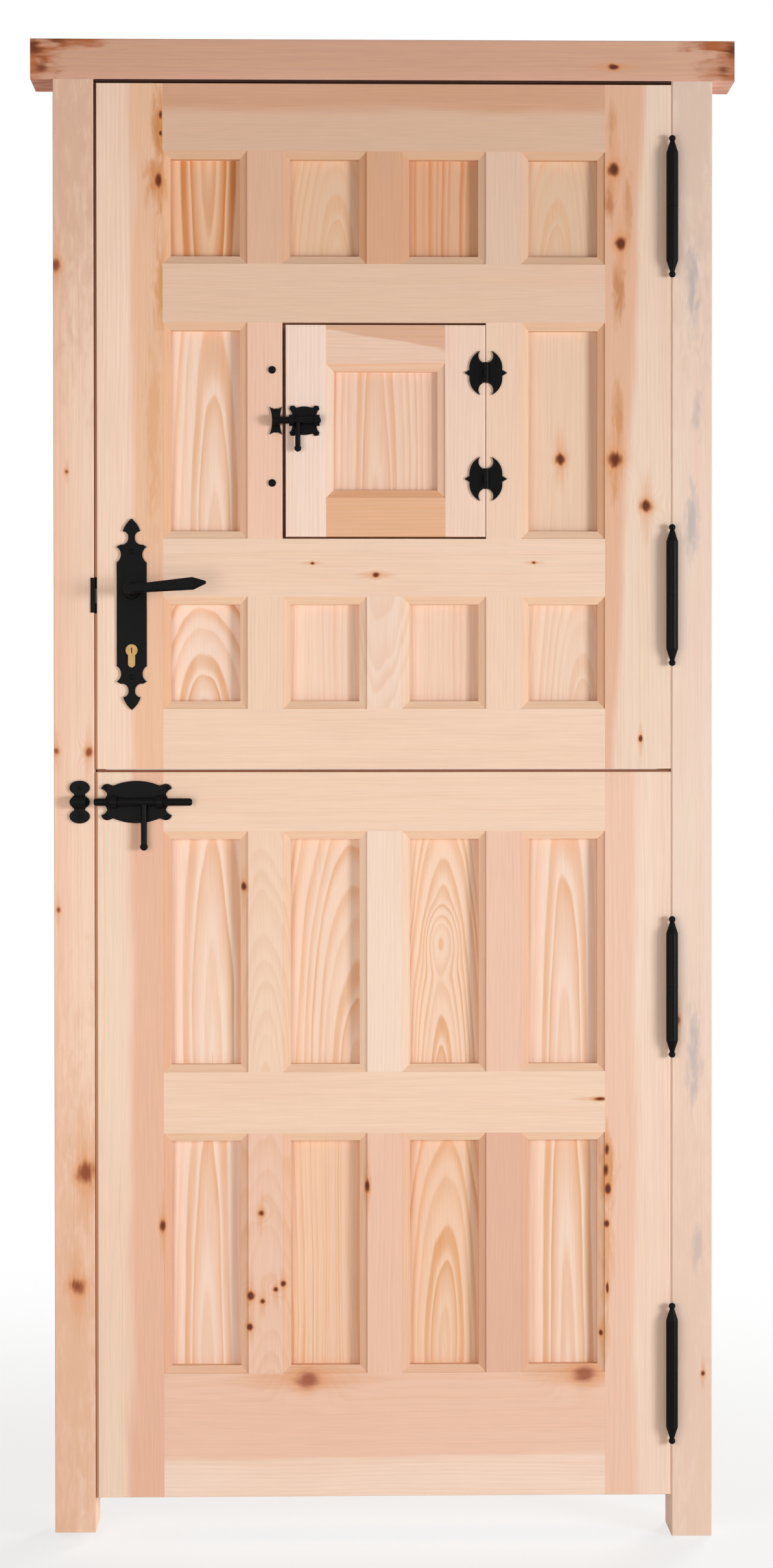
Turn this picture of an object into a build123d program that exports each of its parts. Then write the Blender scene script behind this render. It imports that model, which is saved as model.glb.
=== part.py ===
from build123d import *
import os
from collections import namedtuple
from functools import lru_cache
from math import cos, radians, sin

# A two-part pine front door with a small hatch, hung in its frame and seen from the room.
# X runs along the wall towards the hinges, Y from the room to the outside, Z up.
# The origin is midway between the jambs, on the middle plane of the leaves,
# level with the foot of the longer jamb.

# Leaves
leaf_width = 825.0
leaf_thickness = 45.0
stile_width = 95.0
muntin_width = 50.0
column_count = 4
lower_bottom_rail = 178.0
lower_panel_row = 346.0
lower_middle_rail = 88.0
lower_top_rail = 85.5
upper_bottom_rail = 86.5
small_panel_row = 161.0
rail_under_hatch = 83.0
hatch_row = 310.0
rail_over_hatch = 84.0
upper_top_rail = 97.0
arris = 1.5

# Panel mouldings and joinery
bevel_width = 11.0
quirk_depth = 1.2
bevel_depth = 4.5
panel_thickness = 14.0
groove_depth = 10.0
panel_edge_play = 1.0
panel_face_play = 0.1
tenon_length = 18.0
tenon_thickness = 12.0
tenon_shoulder = 10.0
tenon_play = 0.2

# Frame
jamb_width = 58.0
frame_depth = 80.0
head_height = 58.0
horn_length = 32.0
strike_gap = 4.0
hinge_gap = 1.5
head_gap = 5.0
meeting_gap = 4.0
strike_foot = 50.0
hinge_foot = 60.0
stop_width = 13.0
stop_gap = 0.5
jamb_tenon_height = 30.0
jamb_tenon_width = 30.0
jamb_tenon_depth = 40.0

# Seal between the leaves
seal_width = 8.0
seal_set_back = 3.5
seal_root = 5.0
seal_gap = 0.5

# Barrel hinges of the leaves
barrel_radius = 8.5
barrel_length = 154.0
barrel_stand_off = 9.0
barrel_end_gap = 0.3
finial_length = 25.0
finial_button_radius = 4.8
finial_neck_radius = 3.2
hinge_pin_radius = 4.5
hinge_pin_reach = 50.0
hinge_pin_play = 0.05
flag_thickness = 2.0
flag_width = 30.0
flag_end_margin = 4.0
flag_play = 0.1
upper_hinge_from_top = 176.0
upper_hinge_from_bottom = 249.5
lower_hinge_from_top = 309.5
lower_hinge_from_bottom = 177.0

# Mortise lock
backset = 50.0
lever_height = 255.5
lock_centres = 85.0
case_depth = 70.0
case_thickness = 15.0
case_wall = 1.5
case_end_margin = 40.0
case_play = 0.3
faceplate_thickness = 3.0
faceplate_width = 20.0
faceplate_length = 235.0
latch_drop = 6.0
latch_height = 22.0
latch_reach = 12.0
latch_tail = 20.0
latch_nose = 2.5
latch_strap_height = 4.0
dead_bolt_drop = 47.0
dead_bolt_height = 34.0
dead_bolt_length = 46.0
dead_bolt_throw = 20.0
bolt_play = 0.3
follower_radius = 9.5
follower_boss_radius = 7.0
follower_play = 0.1
finger_width = 5.0
finger_reach = 19.0
finger_lash = 0.7
finger_overlap = 4.0
spindle_size = 8.0
spindle_play = 0.1
spindle_bore_radius = 9.5

# Cylinder of the lock
cylinder_radius = 8.5
cylinder_height = 33.0
cylinder_stem = 10.0
cylinder_proud = 2.0
cylinder_play = 0.4
plug_radius = 6.5
plug_play = 0.05
cam_slot = 11.0
cam_width = 10.0
cam_ring_radius = 8.0
cam_reach = 14.5
cam_finger = 7.0
cam_room = 1.0
keyway_width = 1.6
keyway_height = 8.0
keyway_depth = 20.0

# Long plates and levers
plate_length = 274.0
plate_width = 43.0
plate_thickness = 3.0
plate_edge = 1.2
plate_drop = 33.4
lever_reach = 52.0
lever_length = 109.0
lever_rise = 5.0
lever_root_height = 12.0
lever_root_depth = 10.0
lever_wide_height = 18.0
lever_wide_depth = 10.0
lever_tip_size = 4.0
lever_neck_radius = 8.0
lever_collar_radius = 12.0
lever_collar_height = 5.0
lever_facet = 2.5
lever_play = 0.3
lever_socket = 24.0
lever_tip_facet = 1.0
lever_wide_share = 0.83
lever_collar_taper = 12.0

# Strike plate on the jamb
strike_thickness = 2.0
strike_depth = 36.0
strike_set_back = 4.0
strike_margin = 20.0
strike_lip_height = 50.0
strike_lip_width = 7.0
strike_lip_thickness = 1.5
strike_lip_jamb = 5.0
strike_room = 2.0

# Sliding bolt of the lower leaf
bolt_plate_width = 101.0
bolt_plate_height = 60.6
bolt_plate_thickness = 3.0
bolt_plate_from_edge = 56.5
bolt_drop = 43.0
bolt_radius = 5.4
bolt_length = 141.0
bolt_behind_plate = 80.2
bolt_clearance = 1.0
bolt_end_round = 4.0
guide_width = 10.0
guide_wall = 3.0
guide_play = 0.3
guide_spread = 66.0
bolt_handle_radius = 4.4
bolt_handle_length = 64.0
bolt_handle_offset = 11.0
bolt_ball_radius = 5.6
keeper_width = 29.0
keeper_height = 61.5
keeper_from_edge = 21.0
keeper_lobe_height = 20.5
keeper_neck_width = 16.0
keeper_strap = 18.0

# Hatch
hatch_strike_gap = 4.5
hatch_hinge_gap = 0.8
hatch_end_gap = 3.0
hatch_stile_width = 58.0
hatch_rail_height = 56.0
hatch_thickness = 32.0
hatch_panel_thickness = 10.0
hatch_bevel_depth = 4.0
hatch_stop_width = 12.0
hatch_stop_gap = 0.5
bead_play = 0.1

# Hatch hinges
hatch_hinge_width = 61.0
hatch_hinge_height = 63.0
hatch_hinge_plate = 2.5
hatch_hinge_from_top = 72.0
hatch_hinge_from_bottom = 86.0
hatch_knuckle_radius = 4.5
hatch_knuckle_length = 29.0
hatch_knuckle_stand_off = 5.0
hatch_knuckle_gap = 0.3
hatch_pin_radius = 2.5
middle_knuckle_share = 0.34

# Hatch bolt
hatch_plate_width = 48.0
hatch_plate_height = 43.5
hatch_plate_thickness = 2.5
hatch_plate_from_edge = 27.1
hatch_bolt_radius = 5.0
hatch_bolt_length = 70.0
hatch_bolt_tip = 14.75
hatch_bolt_rise = 169.0
hatch_bolt_clearance = 0.8
hatch_guide_width = 7.0
hatch_guide_wall = 2.5
hatch_guide_spread = 37.0
hatch_handle_radius = 3.8
hatch_handle_length = 40.0
hatch_handle_offset = 9.4
hatch_ball_radius = 5.0
hatch_keeper_width = 18.0
hatch_keeper_height = 40.0
hatch_keeper_from_edge = 9.3
hatch_keeper_strap = 10.0

# Grille outside the hatch
grille_bar_width = 24.0
grille_bar_thickness = 6.0
grille_bar_overhang = 30.0
grille_rod_size = 9.0
grille_rod_count = 5
grille_rod_overhang = 26.0
grille_spear = 14.0
grille_bolt_from_top = 68.0
grille_bolt_from_bottom = 80.0
grille_bolt_radius = 3.0
grille_bolt_head_radius = 5.5
grille_bolt_head_height = 4.0
grille_bolt_from_edge = 14.7
grille_bolt_play = 0.1
grille_nut_radius = 6.0
grille_nut_height = 5.0
dome_share = 0.9

# Cuts run past the faces that they open
overrun = 1.0

# Places worked out from the sizes
front = -leaf_thickness / 2
back = leaf_thickness / 2
seal_front = front + seal_set_back
daylight = leaf_width + strike_gap + hinge_gap
jamb_left = -daylight / 2
jamb_right = daylight / 2
leaf_left = jamb_left + strike_gap
leaf_right = jamb_right - hinge_gap
inner_left = leaf_left + stile_width
inner_right = leaf_right - stile_width
frame_back = front + frame_depth
column_width = (inner_right - inner_left - (column_count - 1) * muntin_width) / column_count

lower_bottom = hinge_foot
low_row_bottom = lower_bottom + lower_bottom_rail
low_row_top = low_row_bottom + lower_panel_row
high_row_bottom = low_row_top + lower_middle_rail
high_row_top = high_row_bottom + lower_panel_row
lower_top = high_row_top + lower_top_rail
upper_bottom = lower_top + meeting_gap
bottom_row_bottom = upper_bottom + upper_bottom_rail
bottom_row_top = bottom_row_bottom + small_panel_row
hatch_row_bottom = bottom_row_top + rail_under_hatch
hatch_row_top = hatch_row_bottom + hatch_row
top_row_bottom = hatch_row_top + rail_over_hatch
top_row_top = top_row_bottom + small_panel_row
upper_top = top_row_top + upper_top_rail
head_bottom = upper_top + head_gap

lever_x = leaf_left + backset
lever_z = upper_bottom + lever_height
cylinder_z = lever_z - lock_centres
latch_z = lever_z - latch_drop
dead_bolt_z = lever_z - dead_bolt_drop
case_front = leaf_left + faceplate_thickness
case_back = case_front + case_depth
case_bottom = cylinder_z - case_end_margin
case_top = lever_z + case_end_margin
case_middle_z = (case_bottom + case_top) / 2
plate_z = lever_z - plate_drop
cylinder_half = back + plate_thickness + cylinder_proud
bolt_half = case_thickness / 2 - case_wall - bolt_play

hinge_x = (leaf_right + jamb_right) / 2
hinge_y = front - barrel_stand_off
upper_hinge_places = (upper_bottom + upper_hinge_from_bottom, upper_top - upper_hinge_from_top)
lower_hinge_places = (lower_bottom + lower_hinge_from_bottom, lower_top - lower_hinge_from_top)

bolt_plate_x = leaf_left + bolt_plate_from_edge
bolt_z = lower_top - bolt_drop
bolt_y = front - bolt_plate_thickness - bolt_clearance - bolt_radius
bolt_right = bolt_plate_x + bolt_behind_plate
bolt_handle_x = bolt_plate_x + bolt_handle_offset
keeper_x = jamb_left - keeper_from_edge

Opening = namedtuple("Opening", "left right bottom top")
Section = namedtuple("Section", "middle thickness bevel groove")

leaf_section = Section(0, leaf_thickness, bevel_depth, panel_thickness + 2 * panel_face_play)
hatch_section = Section(
    front + hatch_thickness / 2,
    hatch_thickness,
    hatch_bevel_depth,
    hatch_panel_thickness + 2 * panel_face_play,
)


def facing(y, x=0, z=0):
    """A plane across the door that looks into the room."""
    return Plane(origin=(x, y, z), x_dir=(1, 0, 0), z_dir=(0, -1, 0))


def beam(x0, x1, y0, y1, z0, z1, mode=Mode.ADD):
    """A block between two corners, in the part that is being built."""
    with Locations(((x0 + x1) / 2, (y0 + y1) / 2, (z0 + z1) / 2)):
        Box(x1 - x0, y1 - y0, z1 - z0, mode=mode)


def lip_corners(opening, side):
    """The mitred strip of moulding along one side of a panel opening."""
    left, right, bottom, top = opening
    in_left = left + bevel_width
    in_right = right - bevel_width
    in_bottom = bottom + bevel_width
    in_top = top - bevel_width
    return {
        "left": [(left, bottom), (in_left, in_bottom), (in_left, in_top), (left, top)],
        "right": [(right, top), (in_right, in_top), (in_right, in_bottom), (right, bottom)],
        "bottom": [(right, bottom), (in_right, in_bottom), (in_left, in_bottom), (left, bottom)],
        "top": [(left, top), (in_left, in_top), (in_right, in_top), (right, top)],
    }[side]


@lru_cache
def moulding_cutter(opening, section):
    """What is cut away round a panel opening: a quirk and a bevel on each face, and the panel's groove."""
    face = section.middle - section.thickness / 2
    rear = section.middle + section.thickness / 2
    centre = ((opening.left + opening.right) / 2, (opening.bottom + opening.top) / 2)
    width = opening.right - opening.left
    height = opening.top - opening.bottom
    with BuildPart() as cutter:
        for start, inward in ((face, 1), (rear, -1)):
            quirk = start + inward * quirk_depth
            beam(opening.left, opening.right, *sorted((start, quirk)), opening.bottom, opening.top)
            with BuildSketch(facing(quirk)):
                with Locations(centre):
                    Rectangle(width, height)
            with BuildSketch(facing(start + inward * section.bevel)):
                with Locations(centre):
                    Rectangle(width - 2 * bevel_width, height - 2 * bevel_width)
            loft()
        groove_reach = 2 * (groove_depth - bevel_width)
        with BuildSketch(facing(section.middle)):
            with Locations(centre):
                Rectangle(width + groove_reach, height + groove_reach)
        extrude(amount=section.groove / 2, both=True)
    return cutter.part


def outer_edges(part, side):
    """The long edges of a member on one outer side of its leaf."""
    along = Axis.Z if side in ("left", "right") else Axis.X
    across = Axis.X if side in ("left", "right") else Axis.Z
    end = 0 if side in ("left", "bottom") else -1
    return part.edges().filter_by(along).group_by(across)[end]


def wood_member(outline, lips, tenons=(), mortises=(), rounded=(), section=leaf_section):
    """A stile, rail or muntin with moulded and grooved lips, stub tenons and mortises."""
    tenon_face = section.middle - tenon_thickness / 2
    tenon_rear = section.middle + tenon_thickness / 2
    with BuildPart() as member:
        with BuildSketch(facing(section.middle)):
            with Locations(((outline.left + outline.right) / 2, (outline.bottom + outline.top) / 2)):
                Rectangle(outline.right - outline.left, outline.top - outline.bottom)
            for opening, side in lips:
                Polygon(*lip_corners(opening, side), align=None)
        extrude(amount=section.thickness / 2, both=True)
        if rounded:
            fillet([edge for side in rounded for edge in outer_edges(member, side)], arris)
        add([moulding_cutter(opening, section) for opening, side in lips], mode=Mode.SUBTRACT)
        for tenon in tenons:
            beam(tenon.left, tenon.right, tenon_face, tenon_rear, tenon.bottom, tenon.top)
        for tenon in mortises:
            beam(
                tenon.left - tenon_play, tenon.right + tenon_play,
                tenon_face - tenon_play, tenon_rear + tenon_play,
                tenon.bottom - tenon_play, tenon.top + tenon_play,
                mode=Mode.SUBTRACT,
            )
    return member.part


def rail_tenons(bottom, top, left=inner_left, right=inner_right):
    """The stub tenons at both ends of a rail."""
    low = bottom + tenon_shoulder
    high = top - tenon_shoulder
    return [Opening(left - tenon_length, left, low, high), Opening(right, right + tenon_length, low, high)]


def muntin_tenons(outline):
    """The stub tenons below and above a muntin."""
    left = outline.left + tenon_shoulder
    right = outline.right - tenon_shoulder
    return [
        Opening(left, right, outline.bottom - tenon_length, outline.bottom),
        Opening(left, right, outline.top, outline.top + tenon_length),
    ]


def panel_board(opening, section, thickness):
    """A flat panel that floats in the grooves around its opening."""
    reach = groove_depth - panel_edge_play - bevel_width
    with BuildPart() as board:
        beam(
            opening.left - reach, opening.right + reach,
            section.middle - thickness / 2, section.middle + thickness / 2,
            opening.bottom - reach, opening.top + reach,
        )
    return board.part


def gather(pieces):
    """Separate pieces of one kind, kept together as one group."""
    with BuildPart() as group:
        for piece in pieces:
            add(piece)
    return group.part


def keep(label, part):
    """Name a finished piece and write it."""
    part.label = label
    export_step(part, f"parts/{label}.step")


os.makedirs("parts", exist_ok=True)

# Panel openings of the leaves, row by row
column_lefts = [inner_left + i * (column_width + muntin_width) for i in range(column_count)]
columns = [(left, left + column_width) for left in column_lefts]


def opening_row(bottom, top):
    return [Opening(left, right, bottom, top) for left, right in columns]


def row_muntins(openings):
    """The muntins that part the openings of a row."""
    pairs = zip(openings[:-1], openings[1:])
    return [Opening(one.right, other.left, one.bottom, one.top) for one, other in pairs]


low_row = opening_row(low_row_bottom, low_row_top)
high_row = opening_row(high_row_bottom, high_row_top)
bottom_row = opening_row(bottom_row_bottom, bottom_row_top)
side_row = opening_row(hatch_row_bottom, hatch_row_top)
top_row = opening_row(top_row_bottom, top_row_top)
hatch_way = Opening(side_row[1].left, side_row[-2].right, hatch_row_bottom, hatch_row_top)
side_openings = [side_row[0], side_row[-1]]

low_muntins = row_muntins(low_row)
high_muntins = row_muntins(high_row)
bottom_muntins = row_muntins(bottom_row)
top_muntins = row_muntins(top_row)
side_muntins = [row_muntins(side_row)[0], row_muntins(side_row)[-1]]


def build_row(openings, outlines, muntin_name, panel_name):
    """The muntins and panels of one full row."""
    muntins = []
    for i, outline in enumerate(outlines):
        lips = [(openings[i], "right"), (openings[i + 1], "left")]
        muntins.append(wood_member(outline, lips, muntin_tenons(outline)))
    keep(muntin_name, gather(muntins))
    keep(panel_name, gather([panel_board(opening, leaf_section, panel_thickness) for opening in openings]))


def build_rail(name, bottom, top, lips, muntins_below=(), muntins_above=(), rounded=()):
    """A rail between the stiles, with mortises for the muntins that stand against it."""
    mortises = [muntin_tenons(outline)[1] for outline in muntins_below]
    mortises += [muntin_tenons(outline)[0] for outline in muntins_above]
    outline = Opening(inner_left, inner_right, bottom, top)
    keep(name, wood_member(outline, lips, rail_tenons(bottom, top), mortises, rounded))


def on_side(openings, side):
    return [(opening, side) for opening in openings]


# Lower leaf
lower_rails = [
    (lower_bottom, low_row_bottom),
    (low_row_top, high_row_bottom),
    (high_row_top, lower_top),
]
build_rail("lower_bottom_rail", *lower_rails[0], on_side(low_row, "bottom"), (), low_muntins, ("bottom",))
build_rail(
    "lower_middle_rail", *lower_rails[1],
    on_side(low_row, "top") + on_side(high_row, "bottom"), low_muntins, high_muntins,
)
build_row(low_row, low_muntins, "lower_leaf_low_muntins", "lower_leaf_low_panels")
build_row(high_row, high_muntins, "lower_leaf_high_muntins", "lower_leaf_high_panels")

with BuildPart() as lower_top_rail_part:
    add(
        wood_member(
            Opening(inner_left, inner_right, *lower_rails[2]), on_side(high_row, "top"),
            rail_tenons(*lower_rails[2]), [muntin_tenons(outline)[1] for outline in high_muntins], ("top",),
        )
    )
    beam(
        inner_left, inner_right, seal_front, seal_front + seal_width,
        lower_top - seal_root, lower_top + overrun, mode=Mode.SUBTRACT,
    )
keep("lower_top_rail", lower_top_rail_part.part)


def leaf_flag_recess(places):
    """Recesses for the hinge flags in the edge of a hinge stile."""
    for place in places:
        beam(
            leaf_right - flag_thickness, leaf_right + overrun,
            front - overrun, front + flag_width + flag_play,
            place + flag_end_margin - flag_play, place + barrel_length / 2 - flag_end_margin + flag_play,
            mode=Mode.SUBTRACT,
        )


lower_left_mortises = [rail_tenons(*rail)[0] for rail in lower_rails]
lower_right_mortises = [rail_tenons(*rail)[1] for rail in lower_rails]
with BuildPart() as lower_lock_stile:
    add(
        wood_member(
            Opening(leaf_left, inner_left, lower_bottom, lower_top),
            [(low_row[0], "left"), (high_row[0], "left")],
            mortises=lower_left_mortises, rounded=("left", "bottom", "top"),
        )
    )
    beam(
        leaf_left - overrun, inner_left, seal_front, seal_front + seal_width,
        lower_top - seal_root, lower_top + overrun, mode=Mode.SUBTRACT,
    )
keep("lower_lock_stile", lower_lock_stile.part)

with BuildPart() as lower_hinge_stile:
    add(
        wood_member(
            Opening(inner_right, leaf_right, lower_bottom, lower_top),
            [(low_row[-1], "right"), (high_row[-1], "right")],
            mortises=lower_right_mortises, rounded=("right", "bottom", "top"),
        )
    )
    beam(
        inner_right, leaf_right + overrun, seal_front, seal_front + seal_width,
        lower_top - seal_root, lower_top + overrun, mode=Mode.SUBTRACT,
    )
    leaf_flag_recess(lower_hinge_places)
keep("lower_hinge_stile", lower_hinge_stile.part)

# The brown seal shows as a line between the leaves
with BuildPart() as meeting_seal:
    beam(
        leaf_left, leaf_right, seal_front, seal_front + seal_width,
        lower_top - seal_root, upper_bottom - seal_gap,
    )
    fillet(meeting_seal.edges().filter_by(Axis.X).group_by(Axis.Z)[-1], arris)
keep("meeting_seal", meeting_seal.part)

# Upper leaf
upper_rails = [
    (upper_bottom, bottom_row_bottom),
    (bottom_row_top, hatch_row_bottom),
    (hatch_row_top, top_row_bottom),
    (top_row_top, upper_top),
]
build_rail(
    "upper_bottom_rail", *upper_rails[0],
    on_side(bottom_row, "bottom"), (), bottom_muntins, ("bottom",),
)
build_rail(
    "rail_under_hatch", *upper_rails[1],
    on_side(bottom_row, "top") + on_side(side_openings, "bottom"), bottom_muntins, side_muntins,
)
build_rail(
    "rail_over_hatch", *upper_rails[2],
    on_side(side_openings, "top") + on_side(top_row, "bottom"), side_muntins, top_muntins,
)
build_rail("upper_top_rail", *upper_rails[3], on_side(top_row, "top"), top_muntins, (), ("top",))
build_row(bottom_row, bottom_muntins, "upper_leaf_low_muntins", "upper_leaf_low_panels")
build_row(top_row, top_muntins, "upper_leaf_top_muntins", "upper_leaf_top_panels")
keep(
    "hatch_side_panels",
    gather([panel_board(opening, leaf_section, panel_thickness) for opening in side_openings]),
)

# Grille bolts pass through the muntins beside the hatch
grille_bolt_x = (hatch_way.left - grille_bolt_from_edge, hatch_way.right + grille_bolt_from_edge)
grille_bolt_z = (hatch_way.bottom + grille_bolt_from_bottom, hatch_way.top - grille_bolt_from_top)
with BuildPart() as hatch_side_muntins:
    add(wood_member(side_muntins[0], [(side_openings[0], "right")], muntin_tenons(side_muntins[0])))
    add(wood_member(side_muntins[1], [(side_openings[1], "left")], muntin_tenons(side_muntins[1])))
    with BuildSketch(facing(0)):
        with Locations([(x, z) for x in grille_bolt_x for z in grille_bolt_z]):
            Circle(grille_bolt_radius + grille_bolt_play)
    extrude(amount=leaf_thickness, both=True, mode=Mode.SUBTRACT)
keep("hatch_side_muntins", hatch_side_muntins.part)

upper_left_mortises = [rail_tenons(*rail)[0] for rail in upper_rails]
upper_right_mortises = [rail_tenons(*rail)[1] for rail in upper_rails]


def cylinder_outline(play):
    """The outline of the lock cylinder: a round head over a narrow stem."""
    stem_bottom = cylinder_radius - cylinder_height
    stem_half = cylinder_stem / 2
    Circle(cylinder_radius + play)
    with Locations((0, stem_bottom + stem_half)):
        Circle(stem_half + play)
    with Locations((0, (stem_bottom + stem_half) / 2)):
        Rectangle(cylinder_stem + 2 * play, -stem_bottom - stem_half)


with BuildPart() as upper_lock_stile:
    add(
        wood_member(
            Opening(leaf_left, inner_left, upper_bottom, upper_top),
            [(bottom_row[0], "left"), (side_row[0], "left"), (top_row[0], "left")],
            mortises=upper_left_mortises, rounded=("left", "bottom", "top"),
        )
    )
    # Mortise of the lock, with the recess of its faceplate
    beam(
        leaf_left - overrun, case_back + case_play,
        -case_thickness / 2 - case_play, case_thickness / 2 + case_play,
        case_bottom - case_play, case_top + case_play, mode=Mode.SUBTRACT,
    )
    with BuildSketch(Plane.YZ.offset(leaf_left - overrun)):
        with Locations((0, case_middle_z)):
            SlotOverall(faceplate_length + 2 * case_play, faceplate_width + 2 * case_play, rotation=90)
    extrude(amount=faceplate_thickness + overrun, mode=Mode.SUBTRACT)
    # Way through for the spindle and the cylinder
    with BuildSketch(facing(0, lever_x, lever_z)):
        Circle(spindle_bore_radius)
    extrude(amount=leaf_thickness, both=True, mode=Mode.SUBTRACT)
    with BuildSketch(facing(0, lever_x, cylinder_z)):
        cylinder_outline(cylinder_play)
    extrude(amount=leaf_thickness, both=True, mode=Mode.SUBTRACT)
keep("upper_lock_stile", upper_lock_stile.part)

with BuildPart() as upper_hinge_stile:
    add(
        wood_member(
            Opening(inner_right, leaf_right, upper_bottom, upper_top),
            [(bottom_row[-1], "right"), (side_row[-1], "right"), (top_row[-1], "right")],
            mortises=upper_right_mortises, rounded=("right", "bottom", "top"),
        )
    )
    leaf_flag_recess(upper_hinge_places)
keep("upper_hinge_stile", upper_hinge_stile.part)

# Stop beads behind the hatch, the short ones between the long ones
hatch_stop_front = front + hatch_thickness + hatch_stop_gap
bead_left = hatch_way.left + hatch_stop_width
bead_right = hatch_way.right - hatch_stop_width
with BuildPart() as hatch_stops:
    for x0, x1 in ((hatch_way.left, bead_left), (bead_right, hatch_way.right)):
        beam(x0, x1, hatch_stop_front, back, hatch_way.bottom, hatch_way.top)
    for z0, z1 in (
        (hatch_way.bottom, hatch_way.bottom + hatch_stop_width),
        (hatch_way.top - hatch_stop_width, hatch_way.top),
    ):
        beam(bead_left + bead_play, bead_right - bead_play, hatch_stop_front, back, z0, z1)
keep("hatch_stops", hatch_stops.part)

# Frame
head_left = jamb_left - jamb_width - horn_length
head_right = jamb_right + jamb_width + horn_length
frame_middle_y = (front + frame_back) / 2


def jamb_tenon(middle_x, play, mode):
    """The stub tenon on top of a jamb, or its socket in the head."""
    beam(
        middle_x - jamb_tenon_width / 2 - play, middle_x + jamb_tenon_width / 2 + play,
        frame_middle_y - jamb_tenon_depth / 2 - play, frame_middle_y + jamb_tenon_depth / 2 + play,
        head_bottom, head_bottom + jamb_tenon_height + play, mode=mode,
    )


def jamb_post(left, right, foot):
    """An upright of the frame with its tenon."""
    with BuildPart() as post:
        beam(left, right, front, frame_back, foot, head_bottom)
        fillet(post.edges().filter_by(Axis.Z), arris)
        jamb_tenon((left + right) / 2, 0, Mode.ADD)
    return post.part


strike_front = front - strike_lip_thickness
strike_top = latch_z + latch_height / 2 + strike_margin
strike_bottom = dead_bolt_z - dead_bolt_height / 2 - strike_margin
lip_bottom = latch_z - strike_lip_height / 2
lip_top = latch_z + strike_lip_height / 2
strike_holes = ((latch_z, latch_height, latch_reach), (dead_bolt_z, dead_bolt_height, dead_bolt_throw))

with BuildPart() as strike_jamb:
    add(jamb_post(jamb_left - jamb_width, jamb_left, hinge_foot - strike_foot))
    beam(
        jamb_left - strike_thickness, jamb_left + overrun,
        front + strike_set_back, front + strike_depth, strike_bottom, strike_top, mode=Mode.SUBTRACT,
    )
    beam(
        jamb_left - strike_thickness, jamb_left + overrun,
        front - overrun, front + strike_set_back, lip_bottom, lip_top, mode=Mode.SUBTRACT,
    )
    for z, height, reach in strike_holes:
        beam(
            leaf_left - reach - strike_room, jamb_left,
            -bolt_half - strike_room, bolt_half + strike_room,
            z - height / 2 - strike_room, z + height / 2 + strike_room, mode=Mode.SUBTRACT,
        )
keep("strike_jamb", strike_jamb.part)

with BuildPart() as hinge_jamb:
    add(jamb_post(jamb_right, jamb_right + jamb_width, 0))
    for place in upper_hinge_places + lower_hinge_places:
        beam(
            jamb_right - overrun, jamb_right + flag_thickness,
            front - overrun, front + flag_width + flag_play,
            place - barrel_length / 2 + flag_end_margin - flag_play, place - flag_end_margin + flag_play,
            mode=Mode.SUBTRACT,
        )
keep("hinge_jamb", hinge_jamb.part)

with BuildPart() as head:
    beam(head_left, head_right, front, frame_back, head_bottom, head_bottom + head_height)
    fillet(head.edges().filter_by(Axis.X), arris)
    jamb_tenon(jamb_left - jamb_width / 2, tenon_play, Mode.SUBTRACT)
    jamb_tenon(jamb_right + jamb_width / 2, tenon_play, Mode.SUBTRACT)
keep("head", head.part)

# Planted stops that the leaves close against
stop_front = back + stop_gap
with BuildPart() as strike_stop:
    beam(jamb_left, jamb_left + stop_width, stop_front, frame_back, lower_bottom, head_bottom)
    fillet(strike_stop.edges().filter_by(Axis.Z).group_by(Axis.X)[-1], arris)
keep("strike_stop", strike_stop.part)

with BuildPart() as hinge_stop:
    beam(jamb_right - stop_width, jamb_right, stop_front, frame_back, lower_bottom, head_bottom)
    fillet(hinge_stop.edges().filter_by(Axis.Z).group_by(Axis.X)[0], arris)
keep("hinge_stop", hinge_stop.part)

with BuildPart() as head_stop:
    beam(
        jamb_left + stop_width + bead_play, jamb_right - stop_width - bead_play,
        stop_front, frame_back, head_bottom - stop_width, head_bottom,
    )
    fillet(head_stop.edges().filter_by(Axis.X).group_by(Axis.Z)[0], arris)
keep("head_stop", head_stop.part)

# Strike plate let into the jamb, with a tongue to the lip over the jamb's front edge
with BuildPart() as strike_plate:
    beam(
        jamb_left - strike_thickness, jamb_left,
        front + strike_set_back, front + strike_depth, strike_bottom, strike_top,
    )
    beam(jamb_left - strike_thickness, jamb_left, front, front + strike_set_back, lip_bottom, lip_top)
    beam(
        jamb_left - strike_lip_jamb, jamb_left - strike_lip_jamb + strike_lip_width, strike_front, front,
        lip_bottom, lip_top,
    )
    for z, height, reach in strike_holes:
        beam(
            jamb_left - strike_thickness - overrun, jamb_left + overrun,
            -bolt_half - strike_room, bolt_half + strike_room,
            z - height / 2 - strike_room, z + height / 2 + strike_room, mode=Mode.SUBTRACT,
        )
keep("strike_plate", strike_plate.part)

# Barrel hinges, made about their own axis with the seam between the halves at height zero
ball_z = barrel_length / 2 + finial_length - finial_button_radius
ball_base = ball_z - (finial_button_radius**2 - finial_neck_radius**2) ** 0.5


def barrel_outline(up):
    """The turned outside of one half, from the seam to the button; up is 1 or -1."""
    Polyline(
        (barrel_radius, up * barrel_end_gap / 2),
        (barrel_radius, up * barrel_length / 2),
        (finial_neck_radius, up * ball_base),
    )
    ThreePointArc(
        (finial_neck_radius, up * ball_base),
        (finial_button_radius, up * ball_z),
        (0, up * (ball_z + finial_button_radius)),
    )


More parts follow.
